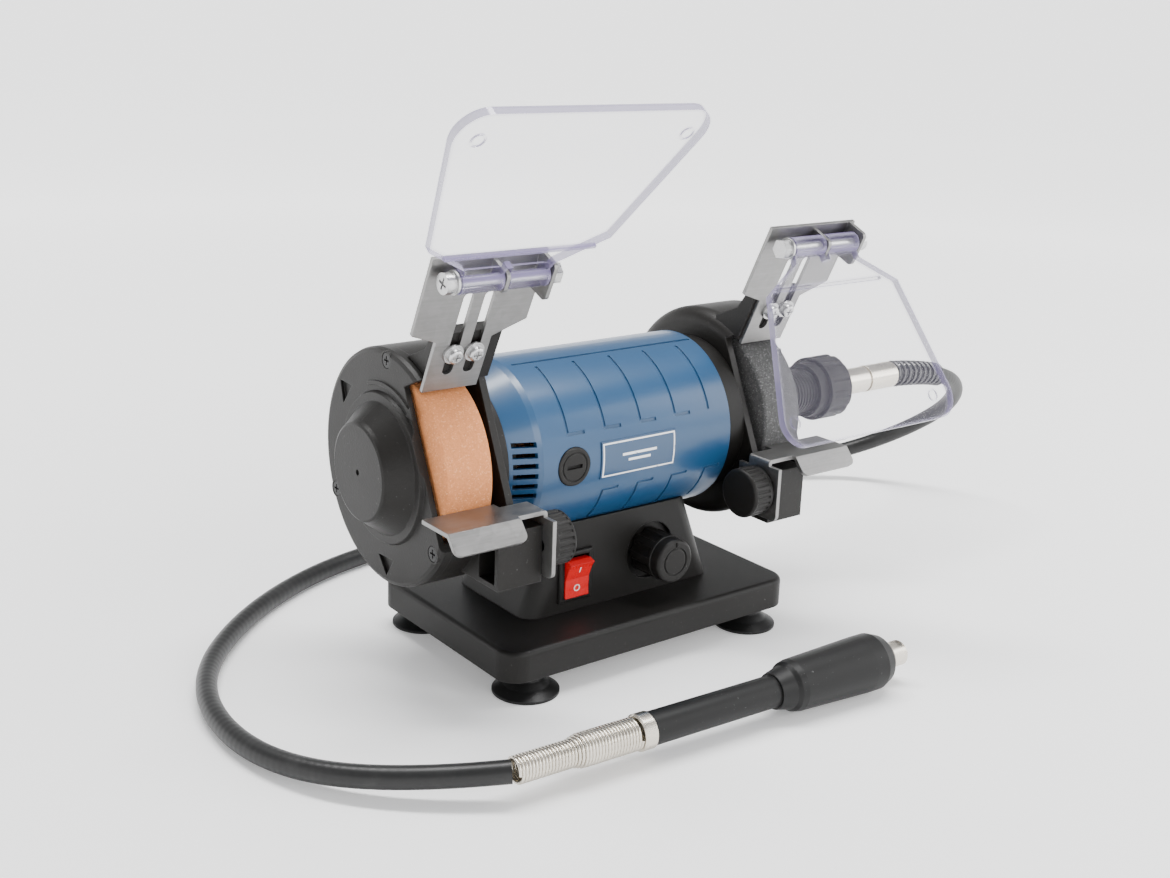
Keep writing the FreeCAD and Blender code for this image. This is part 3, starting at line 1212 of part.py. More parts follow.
def shaft_ferrule():
    flange = COUPLING_END - 10.4
    return turned([
        (COUPLING_NECK_END, CORE_BORE), (COUPLING_NECK_END, COUPLING_NECK - 0.5),
        (flange - 0.3, COUPLING_NECK - 0.5), (flange - 0.3, FERRULE_RADIUS),
        (FERRULE_GROOVE - 0.5, FERRULE_RADIUS), (FERRULE_GROOVE - 0.5, FERRULE_RADIUS - 0.7),
        (FERRULE_GROOVE + 0.5, FERRULE_RADIUS - 0.7), (FERRULE_GROOVE + 0.5, FERRULE_RADIUS + 0.2),
        (FERRULE_END - 0.8, FERRULE_RADIUS + 0.2), (FERRULE_END, FERRULE_RADIUS - 0.4),
        (FERRULE_END, CORE_BORE),
    ])


def route_wire(points):
    """Straight runs joined by tangent arcs, each as large as its shorter run allows."""
    corners = [V(*p) for p in points]
    edges = []
    radii = []
    start = corners[0]
    for before, corner, after in zip(corners, corners[1:], corners[2:]):
        into = (corner - before).normalize()
        away = (after - corner).normalize()
        half_turn = into.getAngle(away) / 2
        reach = 0.45 * min((corner - before).Length, (after - corner).Length)
        radius = reach / math.tan(half_turn)
        arc_start = corner - into * reach
        arc_end = corner + away * reach
        inward = (away - into).normalize()
        middle = corner + inward * (radius / math.cos(half_turn) - radius)
        edges.append(Part.LineSegment(start, arc_start).toShape())
        edges.append(Part.Arc(arc_start, middle, arc_end).toShape())
        radii.append(radius)
        start = arc_end
    edges.append(Part.LineSegment(start, corners[-1]).toShape())
    return Part.Wire(edges), radii


def flex_shaft():
    wire, radii = route_wire(ROUTE)
    radius = CORD_DIAMETER / 2
    first = V(*ROUTE[1]) - V(*ROUTE[0])
    ring = Part.Wire(Part.makeCircle(radius, V(*ROUTE[0]), first))
    tube = wire.makePipeShell([ring], True, False)
    expected = math.pi * radius ** 2 * wire.Length
    print("shaft length", round(wire.Length, 1), "radii", [round(r) for r in radii])
    print("volume over section times length", round(tube.Volume / expected, 4))
    return tube


def strain_spring():
    """An open coil round the straight start of the free shaft."""
    start = V(*ROUTE[0])
    forward = (V(*ROUTE[1]) - start).normalize()
    clear = SPRING_WIRE + 0.25
    pitch = SPRING_LENGTH / SPRING_TURNS
    path = Part.makeHelix(pitch, SPRING_LENGTH, SPRING_RADIUS)
    ring = Part.Wire(Part.makeCircle(SPRING_WIRE, V(SPRING_RADIUS, 0, 0), V(0, 1, 0)))
    coil = Part.Wire(path).makePipeShell([ring], True, True)
    coil.Placement = FreeCAD.Placement(start + forward * clear, FreeCAD.Rotation(V(0, 0, 1), forward))
    return coil


# ---- handpiece ------------------------------------------------------------------------------
def at_handpiece(shape):
    """Carry a piece drawn along X from the origin to where the handpiece lies."""
    moved = shape.copy()
    moved.rotate(V(0, 0, 0), V(0, 0, 1), HANDPIECE_TURN)
    moved.translate(V(HANDPIECE_X, HANDPIECE_Y, GRIP_RADIUS))
    return moved


SLEEVE_END = 50.0
RING_END = 55.5
TUBE_END = 112.0
GRIP_START = 118.0
GRIP_END = 170.0
COLLET_END = 179.0
SPINDLE_RADIUS = 3.0


def handpiece_spring():
    profile = [(0.0, CORE_BORE - 0.4), (0.0, 4.9), (22.0, 4.95), (26.0, 6.0), (SLEEVE_END, 6.1),
               (SLEEVE_END, CORE_BORE - 0.4)]
    return at_handpiece(turned(profile, z=0.0))


def handpiece_ferrule():
    profile = [(SLEEVE_END, 3.4), (SLEEVE_END, 6.0), (SLEEVE_END + 0.5, 6.6), (RING_END - 0.5, 6.6),
               (RING_END, 6.1), (RING_END, 3.4)]
    return at_handpiece(turned(profile, z=0.0))


def handpiece_tube():
    bore = SPINDLE_RADIUS + 0.6
    profile = [(RING_END, bore), (RING_END, HANDPIECE_TUBE), (TUBE_END, HANDPIECE_TUBE), (TUBE_END, bore)]
    return at_handpiece(turned(profile, z=0.0))


def handpiece_grip():
    bore = SPINDLE_RADIUS + 0.6
    outer = [
        (TUBE_END, bore), (TUBE_END, 6.8), (GRIP_START, 8.2), (GRIP_START + 1.5, 9.3),
        (GRIP_START + 4.0, 9.8), (GRIP_END - 14.0, GRIP_RADIUS), (GRIP_END - 8.0, GRIP_RADIUS),
        (GRIP_END - 3.5, GRIP_RADIUS - 1.6), (GRIP_END - 1.0, GRIP_RADIUS - 3.8),
        (GRIP_END, COLLET_RADIUS + 0.8), (GRIP_END, bore),
    ]
    grip = turned(outer, z=0.0)
    for start in bearing_starts():
        grip = grip.cut(rod((start, 0, 0), (1, 0, 0), 5.0, 6.5))
    return at_handpiece(grip)


def bearing_starts():
    return (GRIP_START + 6.0, GRIP_END - 14.0)


def handpiece_bearings():
    rings = []
    for start in bearing_starts():
        ring = rod((start, 0, 0), (1, 0, 0), 5.0, 6.5)
        rings.append(at_handpiece(ring.cut(rod((start, 0, 0), (1, 0, 0), 5.0, SPINDLE_RADIUS + RUN_GAP))))
    return Part.makeCompound(rings)


def handpiece_spindle():
    start, end = TUBE_END - 20.0, GRIP_END + 5.0
    shaft = rod((start, 0, 0), (1, 0, 0), end - start, SPINDLE_RADIUS)
    return at_handpiece(shaft.cut(rod((end - 16.0, 0, 0), (1, 0, 0), 16.0, COLLET_BORE)))


def collet_nut():
    start = GRIP_END + 0.5
    body = turned([
        (start, SPINDLE_RADIUS), (start, COLLET_RADIUS), (COLLET_END - 1.2, COLLET_RADIUS),
        (COLLET_END, COLLET_RADIUS - 1.0), (COLLET_END, COLLET_BORE), (GRIP_END + 5.0, COLLET_BORE),
        (GRIP_END + 5.0, SPINDLE_RADIUS),
    ], z=0.0)
    for n in range(2):
        flat = box(start + 3.0, start + 7.0, -9, 9, COLLET_RADIUS - 0.7, 9)
        flat.rotate(V(0, 0, 0), V(1, 0, 0), 180.0 * n)
        body = body.cut(flat)
    return at_handpiece(body)


# ---- the whole machine ----------------------------------------------------------------------
def main():
    os.makedirs("parts", exist_ok=True)
    left, right = left_middle(), right_middle()
    left_cover_screws = [cover_screw(angle) for angle in COVER_SCREW_ANGLES]
    left_flanges = wheel_flanges()
    left_bearing = bearing()
    left_nut = spindle_nut()
    nodes = {
        "base_plate": base_plate(),
        "base_cover": base_cover(),
        "suction_feet": Part.makeCompound([suction_foot(x, y) for x, y in foot_places()]),
        "foot_screws": Part.makeCompound([foot_screw(x, y) for x, y in foot_places()]),
        "pedestal": pedestal(),
        "pedestal_screws": pedestal_screws(),
        "mains_gland": mains_gland(),
        "switch_frame": switch_frame(),
        "rocker": rocker(),
        "speed_knob": speed_knob(),
        "dial_potentiometer": dial_potentiometer(),
        "speed_board": speed_board(),
        "motor_housing": motor_housing(),
        "badge": badge(),
        "left_end_bell": left_end_bell(),
        "right_end_bell": right_end_bell(),
        "bearings": Part.makeCompound([left_bearing, mirrored(left_bearing)]),
        "stator_core": stator_core(),
        "field_coils": field_coils(),
        "brush_holders": brush_holders(),
        "carbon_brushes": carbon_brushes(),
        "brush_caps": Part.makeCompound([brush_cap(-1), brush_cap(1)]),
        "spindle_shaft": spindle_shaft(),
        "rotor_core": rotor_core(),
        "rotor_windings": rotor_windings(),
        "commutator": commutator(),
        "cooling_fan": cooling_fan(),
        "left_wheel": wheel(),
        "right_wheel": mirrored(wheel()),
        "wheel_flanges": Part.makeCompound(left_flanges + [mirrored(f) for f in left_flanges]),
        "spindle_nuts": Part.makeCompound([left_nut, mirrored(left_nut)]),
        "drive_socket": drive_socket(),
        "drive_core": drive_core(),
        "left_guard": drilled_for_deflector(guard(), left),
        "right_guard": drilled_for_deflector(mirrored(guard()), right),
        "left_guard_cover": guard_cover(),
        "right_guard_cover": right_guard_cover(),
        "cover_screws": Part.makeCompound(left_cover_screws + [mirrored(s) for s in left_cover_screws]),
        "deflector_screws": deflector_screws(),
        "left_deflector": placed_on_guard(deflector(), left),
        "right_deflector": placed_on_guard(deflector(), right),
        "left_shield_bolt": placed_on_guard(shield_bolt(-1), left),
        "right_shield_bolt": placed_on_guard(shield_bolt(1), right),
        "left_shield": placed_shield(SHIELD_RAISED, left),
        "right_shield": placed_shield(SHIELD_LOWERED, right),
        "left_rest": tool_rest(),
        "right_rest": mirrored(tool_rest()),
        "left_rest_knob": rest_knob(),
        "right_rest_knob": mirrored(rest_knob()),
        "coupling_nut": coupling_nut(),
        "shaft_ferrule": shaft_ferrule(),
        "strain_spring": strain_spring(),
        "flex_shaft": flex_shaft(),
        "handpiece_spring": handpiece_spring(),
        "handpiece_ferrule": handpiece_ferrule(),
        "handpiece_tube": handpiece_tube(),
        "handpiece_grip": handpiece_grip(),
        "handpiece_bearings": handpiece_bearings(),
        "handpiece_spindle": handpiece_spindle(),
        "collet_nut": collet_nut(),
    }
    for name, shape in nodes.items():
        save(name, shape)
    print("nodes", len(nodes))


main()
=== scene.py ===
import bpy
import math
from mathutils import Matrix, Vector
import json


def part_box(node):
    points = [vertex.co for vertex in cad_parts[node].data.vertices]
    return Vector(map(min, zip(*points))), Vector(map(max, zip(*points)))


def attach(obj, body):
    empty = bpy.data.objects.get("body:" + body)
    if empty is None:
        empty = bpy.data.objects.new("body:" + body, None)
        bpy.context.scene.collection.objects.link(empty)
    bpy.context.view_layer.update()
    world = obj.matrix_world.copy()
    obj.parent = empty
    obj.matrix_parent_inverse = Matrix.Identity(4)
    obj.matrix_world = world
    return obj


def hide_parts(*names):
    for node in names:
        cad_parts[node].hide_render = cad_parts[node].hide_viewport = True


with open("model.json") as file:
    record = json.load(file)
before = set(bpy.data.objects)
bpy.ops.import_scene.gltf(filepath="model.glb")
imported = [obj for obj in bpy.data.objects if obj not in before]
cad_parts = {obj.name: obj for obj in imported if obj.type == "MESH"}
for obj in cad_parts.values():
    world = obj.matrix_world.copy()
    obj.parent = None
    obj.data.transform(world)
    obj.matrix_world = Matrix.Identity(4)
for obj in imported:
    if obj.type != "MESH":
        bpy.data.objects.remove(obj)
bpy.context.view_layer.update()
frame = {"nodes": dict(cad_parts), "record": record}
nodes = frame["nodes"]

# ---- camera ---------------------------------------------------------------------------------
YAW, PITCH, ROLL = math.radians(36.93), math.radians(15.09), math.radians(1.77)


def place_camera():
    back = Vector((-math.sin(YAW) * math.cos(PITCH), -math.cos(YAW) * math.cos(PITCH), math.sin(PITCH)))
    right = Vector((math.cos(YAW), -math.sin(YAW), 0.0))
    up = back.cross(right)
    side = right * math.cos(ROLL) + up * math.sin(ROLL)
    top = up * math.cos(ROLL) - right * math.sin(ROLL)
    data = bpy.data.cameras.new("camera")
    data.sensor_width = 36.0
    data.lens = 43.73
    data.shift_x = 0.0263
    data.shift_y = -0.0391
    data.clip_start = 0.01
    camera = bpy.data.objects.new("camera", data)
    bpy.context.scene.collection.objects.link(camera)
    turn = Matrix((side, top, back)).transposed()
    camera.matrix_world = Matrix.Translation(Vector((-0.3469, -0.4351, 0.2496))) @ turn.to_4x4()
    bpy.context.scene.camera = camera


place_camera()

# ---- the free shaft's route, the same points as the CAD tube ---------------------------------
CORD_DIAMETER = 0.008
ROUTE = [
    (0.182, 0.0, 0.085),
    (0.230, 0.0, 0.0816),
    (0.266, 0.022, 0.052),
    (0.250, 0.077, 0.014),
    (0.172, 0.108, 0.005),
    (0.090, 0.121, 0.004),
    (0.006, 0.112, 0.004),
    (-0.064, 0.106, 0.004),
    (-0.122, 0.074, 0.004),
    (-0.163, 0.026, 0.004),
    (-0.169, -0.032, 0.004),
    (-0.144, -0.078, 0.008),
    (-0.107, -0.0992, 0.011),
]


def new_curve(name, points, radius, kind, sides=6):
    """A round bar along points, straight from one to the next or smooth between them."""
    data = bpy.data.curves.new(name, "CURVE")
    data.dimensions = "3D"
    spline = data.splines.new(kind)
    spline.points.add(len(points) - 1)
    for target, point in zip(spline.points, points):
        target.co = (*point, 1.0)
    if kind == "NURBS":
        spline.order_u = 3
        spline.use_endpoint_u = True
        spline.resolution_u = 24
    data.bevel_depth = radius
    data.bevel_resolution = sides
    data.use_fill_caps = True
    piece = bpy.data.objects.new(name, data)
    bpy.context.scene.collection.objects.link(piece)
    return piece


def points_along(curve):
    """Points along a curve's middle, in order, with the distance of each from the start."""
    depth = curve.data.bevel_depth
    curve.data.bevel_depth = 0.0
    bpy.context.view_layer.update()
    mesh = bpy.data.meshes.new_from_object(curve.evaluated_get(bpy.context.evaluated_depsgraph_get()))
    places = [v.co.copy() for v in mesh.vertices]
    bpy.data.meshes.remove(mesh)
    curve.data.bevel_depth = depth
    distances = [0.0]
    for before, after in zip(places, places[1:]):
        distances.append(distances[-1] + (after - before).length)
    return places, distances


def coil(name, places, distances, start, end, turns, radius, wire):
    """A wire wound round a line; radius is a function of the share of the way along."""
    steps = 16
    points = []
    index = 0
    count = int(turns * steps)
    for n in range(count + 1):
        share = n / count
        distance = start + (end - start) * share
        while index < len(distances) - 2 and distances[index + 1] < distance:
            index += 1
        run = places[index + 1] - places[index]
        part = (distance - distances[index]) / run.length
        middle = places[index] + run * part
        along = run.normalized()
        side = along.cross(Vector((0, 1, 0))).normalized()
        if along.cross(Vector((0, 0, 1))).length > 0.5:
            side = along.cross(Vector((0, 0, 1))).normalized()
        top = side.cross(along)
        turn = 2 * math.pi * n / steps
        points.append(middle + (side * math.cos(turn) + top * math.sin(turn)) * radius(share))
    return new_curve(name, points, wire, "POLY", 3)


sheath = new_curve("sheath", ROUTE, CORD_DIAMETER / 2, "NURBS", 8)
places, distances = points_along(sheath)


def strain_radius(share):
    """Widest at the ferrule."""
    return 0.0058 - 0.0008 * share


STRAIN_START, STRAIN_END, STRAIN_TURNS, STRAIN_WIRE = 0.0006, 0.040, 10, 0.0007
strain_coil = coil(
    "strain_coil", places, distances, STRAIN_START, STRAIN_END, STRAIN_TURNS, strain_radius, STRAIN_WIRE)


HANDPIECE = Vector((-0.107, -0.0992, 0.011))
HAND_TURN = math.radians(-3.1)
hand_along = Vector((math.cos(HAND_TURN), math.sin(HAND_TURN), 0.0))
SLEEVE_LENGTH, SLEEVE_STEPS = 0.050, 50
sleeve_marks = [SLEEVE_LENGTH * n / SLEEVE_STEPS for n in range(SLEEVE_STEPS + 1)]
sleeve_line = [HANDPIECE + hand_along * mark for mark in sleeve_marks]


def sleeve_radius(share):
    """Narrow where the sheath comes in, then wider towards the handpiece."""
    rise = min(1.0, max(0.0, (share - 0.45) / 0.08))
    return 0.0043 + 0.0011 * rise


SLEEVE_START, SLEEVE_END, SLEEVE_TURNS, SLEEVE_WIRE = 0.0008, 0.0494, 38, 0.00062
sleeve_coil = coil(
    "sleeve_coil", sleeve_line, sleeve_marks, SLEEVE_START, SLEEVE_END, SLEEVE_TURNS, sleeve_radius, SLEEVE_WIRE)


# ---- materials ------------------------------------------------------------------------------
class Value:
    """A shader value that takes part in plain arithmetic."""

    def __init__(self, shade, socket):
        self.shade = shade
        self.socket = socket

    def maths(self, operation, *others):
        return self.shade.node("ShaderNodeMath", "Value", (self, *others), operation=operation)

    def __add__(self, other):
        return self.maths("ADD", other)

    def __sub__(self, other):
        return self.maths("SUBTRACT", other)

    def __rsub__(self, other):
        return self.maths("MULTIPLY", -1.0).maths("ADD", other)

    def __mul__(self, other):
        return self.maths("MULTIPLY", other)

    def __truediv__(self, other):
        return self.maths("DIVIDE", other)

    def __pow__(self, other):
        return self.maths("POWER", other)

    __radd__ = __add__
    __rmul__ = __mul__

    def above(self, level, width):
        """0 below level, 1 above it, and a soft step of that width between."""
        return ((self - level) / width + 0.5).clamp()

    def clamp(self):
        return self.maths("MAXIMUM", 0.0).maths("MINIMUM", 1.0)


class Shade:
    """One material, built on the principled shader."""

    def __init__(self, name, **constants):
        self.material = bpy.data.materials.new(name)
        self.material.use_nodes = True
        self.tree = self.material.node_tree
        self.shader = self.tree.nodes["Principled BSDF"]
        for key, value in constants.items():
            self.shader.inputs[key.replace("_", " ")].default_value = value
        self.place = self.node("ShaderNodeTexCoord", "Object")

    def node(self, kind, output, inputs=(), **settings):
        """Any node. inputs is a dict by name, or a row in order; the result is one output."""
        made = self.tree.nodes.new(kind)
        for key, value in settings.items():
            setattr(made, key, value)
        pairs = inputs.items() if isinstance(inputs, dict) else enumerate(inputs)
        for key, value in pairs:
            self.feed(made.inputs[key], value)
        return Value(self, made.outputs[output])

    def feed(self, socket, value):
        if isinstance(value, Value):
            self.tree.links.new(value.socket, socket)
        else:
            socket.default_value = value

    def set(self, name, value):
        self.feed(self.shader.inputs[name], value)

    def noise(self, scale, detail=3.0, roughness=0.55, at=None):
        inputs = {"Vector": at or self.place, "Scale": scale, "Detail": detail, "Roughness": roughness}
        return self.node("ShaderNodeTexNoise", "Fac", inputs)

    def cells(self, scale, output="Distance", at=None, feature="F1"):
        inputs = {"Vector": at or self.place, "Scale": scale}
        return self.node("ShaderNodeTexVoronoi", output, inputs, feature=feature)

    def split(self, vector):
        made = self.tree.nodes.new("ShaderNodeSeparateXYZ")
        self.feed(made.inputs[0], vector)
        return [Value(self, made.outputs[n]) for n in range(3)]

    def join(self, x, y, z):
        return self.node("ShaderNodeCombineXYZ", "Vector", (x, y, z))

    def blend(self, share, low, high):
        """Two colours mixed by a share from 0 to 1."""
        made = self.tree.nodes.new("ShaderNodeMix")
        made.data_type = "RGBA"
        self.feed(made.inputs[0], share)
        self.feed(made.inputs[6], low)
        self.feed(made.inputs[7], high)
        return Value(self, made.outputs[2])

    def bump(self, height, distance, strength=1.0, edge=0.0):
        """Surface relief in metres, over edges rounded by edge metres."""
        inputs = {"Height": height, "Distance": distance, "Strength": strength}
        if edge:
            inputs["Normal"] = self.node("ShaderNodeBevel", "Normal", {"Radius": edge}, samples=4)
        self.set("Normal", self.node("ShaderNodeBump", "Normal", inputs))

    def worn_edge(self, width):
        """1 along sharp edges, 0 on flat faces."""
        soft = self.node("ShaderNodeBevel", "Normal", {"Radius": width}, samples=4)
        true = self.node("ShaderNodeNewGeometry", "Normal")
        cosine = self.node("ShaderNodeVectorMath", "Value", (soft, true), operation="DOT_PRODUCT")
        return ((1.0 - cosine) * 6.0).clamp()


def grey(value, warm=0.0):
    return (value * (1 + warm), value, value * (1 - warm), 1.0)


def moulded(name, low, high, rough, grain=0.00006, scale=2200.0, edge=0.0005):
    """Moulded plastic with a fine grain, dusty hollows and lightly rubbed edges."""
    shade = Shade(name, Specular_IOR_Level=0.24)
    cloud = shade.noise(22.0, 4.0)
    fine = shade.noise(scale, 2.0)
    dust = shade.noise(900.0, 3.0, 0.6).above(0.71, 0.05) * shade.noise(28.0, 3.0).above(0.5, 0.3)
    rub = shade.worn_edge(0.0008) * shade.noise(160.0, 4.0).above(0.52, 0.25)
    colour = shade.blend(cloud, low, high)
    colour = shade.blend(dust * 0.3, colour, grey(0.22))
    shade.set("Base Color", shade.blend(rub * 0.22, colour, grey(0.12)))
    shade.set("Roughness", (cloud * 0.16 + (rough - 0.08) + fine * 0.05).clamp())
    shade.bump(fine, grain, 0.6, edge)
    return shade.material


def painted(name, low, high):
    """Satin paint with a faint orange peel and small rubs at the edges."""
    shade = Shade(name, Coat_Roughness=0.2, Specular_IOR_Level=0.4)
    cloud = shade.noise(14.0, 3.0)
    peel = shade.noise(420.0, 2.0)
    rub = shade.worn_edge(0.0006) * shade.noise(240.0, 4.0).above(0.56, 0.2)
    shade.set("Base Color", shade.blend(rub * 0.4, shade.blend(cloud, low, high), (0.07, 0.16, 0.27, 1.0)))
    shade.set("Roughness", cloud * 0.10 + 0.30 + peel * 0.04)
    shade.set("Coat Weight", cloud * 0.15 + 0.35)
    shade.bump(peel, 0.00005, 0.35, 0.0004)
    return shade.material


def plated(name, low, high, rough, spangle=330.0):
    """Zinc plated sheet: fine pale crystals, drawn lines and small dull spots."""
    shade = Shade(name, Metallic=1.0)
    crystal = shade.cells(spangle, "Color")
    flake = shade.split(crystal)[0]
    x, y, z = shade.split(shade.place)
    drawn = shade.noise(90.0, 5.0, 0.6, shade.join(x * 0.6, y * 14.0, z * 14.0))
    spots = shade.noise(300.0, 5.0).above(0.66, 0.08)
    tone = flake * 0.2 + drawn * 0.8
    shade.set("Base Color", shade.blend(spots * 0.3, shade.blend(tone, low, high), grey(0.34)))
    shade.set("Roughness", (drawn * 0.2 + flake * 0.05 + (rough - 0.12) + spots * 0.12).clamp())
    shade.bump(drawn, 0.00006, 0.4, 0.0003)
    return shade.material


def turned_metal(name, low, high, rough):
    """Turned and plated metal with fine rings and a few dull patches."""
    shade = Shade(name, Metallic=1.0)
    x, y, z = shade.split(shade.place)
    rings = shade.noise(2600.0, 2.0, 0.5, shade.join(x, 0.0, 0.0))
    dull = shade.noise(60.0, 4.0)
    shade.set("Base Color", shade.blend(dull, low, high))
    shade.set("Roughness", (dull * 0.18 + rings * 0.08 + (rough - 0.12)).clamp())
    shade.bump(rings, 0.00003, 0.4, 0.0002)
    return shade.material


def abrasive(name, dark, middle, light):
    """Bonded grit: coarse and fine grains in several tones, with open pores."""
    shade = Shade(name, Specular_IOR_Level=0.3)
    grains = shade.split(shade.cells(2100.0, "Color"))[0]
    coarse = shade.split(shade.cells(1100.0, "Color"))[1]
    pores = shade.noise(1300.0, 4.0, 0.7)
    cloud = shade.noise(35.0, 4.0)
    tone = (grains * 0.35 + coarse * 0.25 + cloud * 0.4).above(0.5, 0.9)
    colour = shade.blend(tone, dark, middle)
    colour = shade.blend((grains * pores).above(0.48, 0.1) * 0.45, colour, light)
    colour = shade.blend((1.0 - pores.above(0.36, 0.1)) * 0.7, colour, dark)
    shade.set("Base Color", colour)
    shade.set("Roughness", pores * 0.2 + 0.72)
    shade.bump(grains * 0.5 + pores, 0.0004, 0.7, 0.0007)
    return shade.material


def clear(name, facing):
    """Clear moulded sheet: glassy faces, violet in the thickness of its edges, and fine scratches."""
    shade = Shade(name, Roughness=0.03, IOR=1.5)
    haze = shade.noise(70.0, 5.0, 0.65)
    x, y, z = shade.split(shade.place)
    scratch = shade.noise(240.0, 3.0, 0.6, shade.join(x * 9.0, y * 0.7, z * 0.7)).above(0.68, 0.06)
    own = shade.node("ShaderNodeTexCoord", "Normal")
    flat = shade.node("ShaderNodeVectorMath", "Value", (own, facing), operation="DOT_PRODUCT")
    rim = 1.0 - flat.maths("ABSOLUTE").above(0.8, 0.3)
    edge = (rim + shade.worn_edge(0.0022) * 0.6).clamp()
    shade.set("Base Color", shade.blend(edge, (0.62, 0.59, 0.76, 1.0), (0.20, 0.17, 0.31, 1.0)))
    shade.set("Alpha", (haze * 0.02 + 0.018 + edge * 0.66 + scratch * 0.03).clamp())
    shade.set("Roughness", haze * 0.05 + 0.03 + scratch * 0.2)
    shade.bump(haze, 0.00004, 0.2)
    return shade.material


def ribbed(name):
    """The sheath's rubber skin, with the wire's rings just showing along it."""
    shade = Shade(name, Specular_IOR_Level=0.4)
    along = shade.split(shade.node("ShaderNodeTexCoord", "UV"))[0]
    rings = (along * (2 * math.pi * 210.0)).maths("SINE") * 0.5 + 0.5
    cloud = shade.noise(30.0, 4.0)
    fine = shade.noise(1500.0, 2.0)
    dust = shade.noise(90.0, 5.0).above(0.6, 0.2)
    shade.set("Base Color", shade.blend(dust * 0.3, grey(0.008), grey(0.035)))
    shade.set("Roughness", cloud * 0.15 + 0.30 + fine * 0.05)
    shade.bump(rings * 0.8 + fine * 0.2, 0.0001, 0.4)
    return shade.material


def wound(name, colour, rough):
    """Enamelled wire laid in rows."""
    shade = Shade(name, Metallic=0.6)
    x, y, z = shade.split(shade.place)
    rows = ((x + y + z) * 5200.0).maths("SINE") * 0.5 + 0.5
    cloud = shade.noise(80.0, 3.0)
    shade.set("Base Color", shade.blend(cloud, colour, (0.35, 0.14, 0.06, 1.0)))
    shade.set("Roughness", rows * 0.1 + rough)
    shade.bump(rows, 0.0002, 0.6)
    return shade.material


def stacked(name):
    """Thin steel sheets stacked along the motor."""
    shade = Shade(name, Metallic=0.9)
    x, y, z = shade.split(shade.place)
    sheets = (x * 9000.0).maths("SINE") * 0.5 + 0.5
    cloud = shade.noise(70.0, 4.0)
    shade.set("Base Color", shade.blend(cloud, grey(0.16), grey(0.3)))
    shade.set("Roughness", cloud * 0.2 + 0.4)
    shade.bump(sheets, 0.0001, 0.5)
    return shade.material


def badge_paint(name):
    """A plain blue plate with a thin white line inside its edge and two short level bars."""
    shade = Shade(name, Coat_Roughness=0.1)
    low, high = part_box("badge")
    middle = [(a + b) / 2 for a, b in zip(low, high)]
    x, y, z = shade.split(shade.place)
    across = (x - middle[0]).maths("ABSOLUTE")
    above = (z - middle[2]).maths("ABSOLUTE")
    half_x, half_z = (high[0] - low[0]) / 2, (high[2] - low[2]) / 2
    outer = (1.0 - across.above(half_x - 0.0007, 0.0001)) * (1.0 - above.above(half_z - 0.0007, 0.0001))
    inner = (1.0 - across.above(half_x - 0.0013, 0.0001)) * (1.0 - above.above(half_z - 0.0013, 0.0001))
    line = outer - inner
    for height, half, thick in ((0.0012, 0.0085, 0.0005), (-0.0012, 0.0055, 0.0005)):
        level = (z - middle[2] - height).maths("ABSOLUTE")
        line = line + (1.0 - across.above(half, 0.0001)) * (1.0 - level.above(thick, 0.0001))
    worn = shade.noise(400.0, 4.0).above(0.3, 0.15)
    cloud = shade.noise(60.0, 3.0)
    blue = shade.blend(cloud, (0.006, 0.042, 0.105, 1.0), (0.008, 0.050, 0.125, 1.0))
    shade.set("Base Color", shade.blend((line * worn).clamp(), blue, (0.85, 0.86, 0.88, 1.0)))
    shade.set("Roughness", cloud * 0.1 + 0.28)
    shade.set("Coat Weight", cloud * 0.2 + 0.3)
    shade.bump(line, 0.00004, 0.5)
    return shade.material


def printed(name, colour, rough):
    """Ink or paint of a printed mark, slightly uneven."""
    shade = Shade(name)
    cloud = shade.noise(900.0, 4.0)
    dim = tuple(0.8 * part for part in colour[:3]) + (1.0,)
    shade.set("Base Color", shade.blend(cloud, colour, dim))
    shade.set("Roughness", cloud * 0.2 + rough)
    return shade.material


black = moulded("black_moulding", grey(0.0050, 0.10), grey(0.0085, 0.10), 0.44)
shell_black = moulded("shell_moulding", grey(0.0050, 0.12), grey(0.0090, 0.12), 0.42, 0.00008, 1500.0)
grip_black = moulded("grip_moulding", grey(0.0045), grey(0.0075), 0.42, 0.00004, 2600.0)
rubber = moulded("soft_rubber", grey(0.006), grey(0.010), 0.40, 0.00004, 1200.0)
red = moulded("red_moulding", (0.52, 0.006, 0.008, 1.0), (0.62, 0.012, 0.012, 1.0), 0.26, 0.00002)
blue = painted("blue_paint", (0.006, 0.047, 0.118, 1.0), (0.008, 0.057, 0.142, 1.0))
zinc = plated("zinc_plate", grey(0.19, 0.012), grey(0.32, 0.012), 0.40)
screw_zinc = plated("screw_zinc", grey(0.42), grey(0.62), 0.3, 900.0)
black_screw = moulded("blackened_steel", grey(0.012), grey(0.022), 0.34, 0.00003, 900.0, 0.0003)
nickel = turned_metal("nickel_plate", (0.60, 0.55, 0.47, 1.0), (0.76, 0.72, 0.64, 1.0), 0.26)
steel = turned_metal("ground_steel", grey(0.5), grey(0.66), 0.3)
spring_steel = turned_metal("spring_wire", grey(0.07), grey(0.15), 0.34)
orange = abrasive("orange_grit", (0.58, 0.20, 0.07, 1.0), (0.80, 0.32, 0.12, 1.0), (0.92, 0.50, 0.27, 1.0))
grit = abrasive("grey_grit", grey(0.045), grey(0.11), grey(0.30))
raised_clear = clear("raised_clear_sheet", (0.0, 0.766, 0.643))
lowered_clear = clear("lowered_clear_sheet", (0.0, 0.879, -0.477))
sheath_skin = ribbed("sheath_skin")
copper = wound("enamelled_copper", (0.6, 0.25, 0.1, 1.0), 0.32)
sheets = stacked("stacked_sheets")
brass = turned_metal("brass_plain", (0.6, 0.42, 0.16, 1.0), (0.75, 0.56, 0.26, 1.0), 0.3)
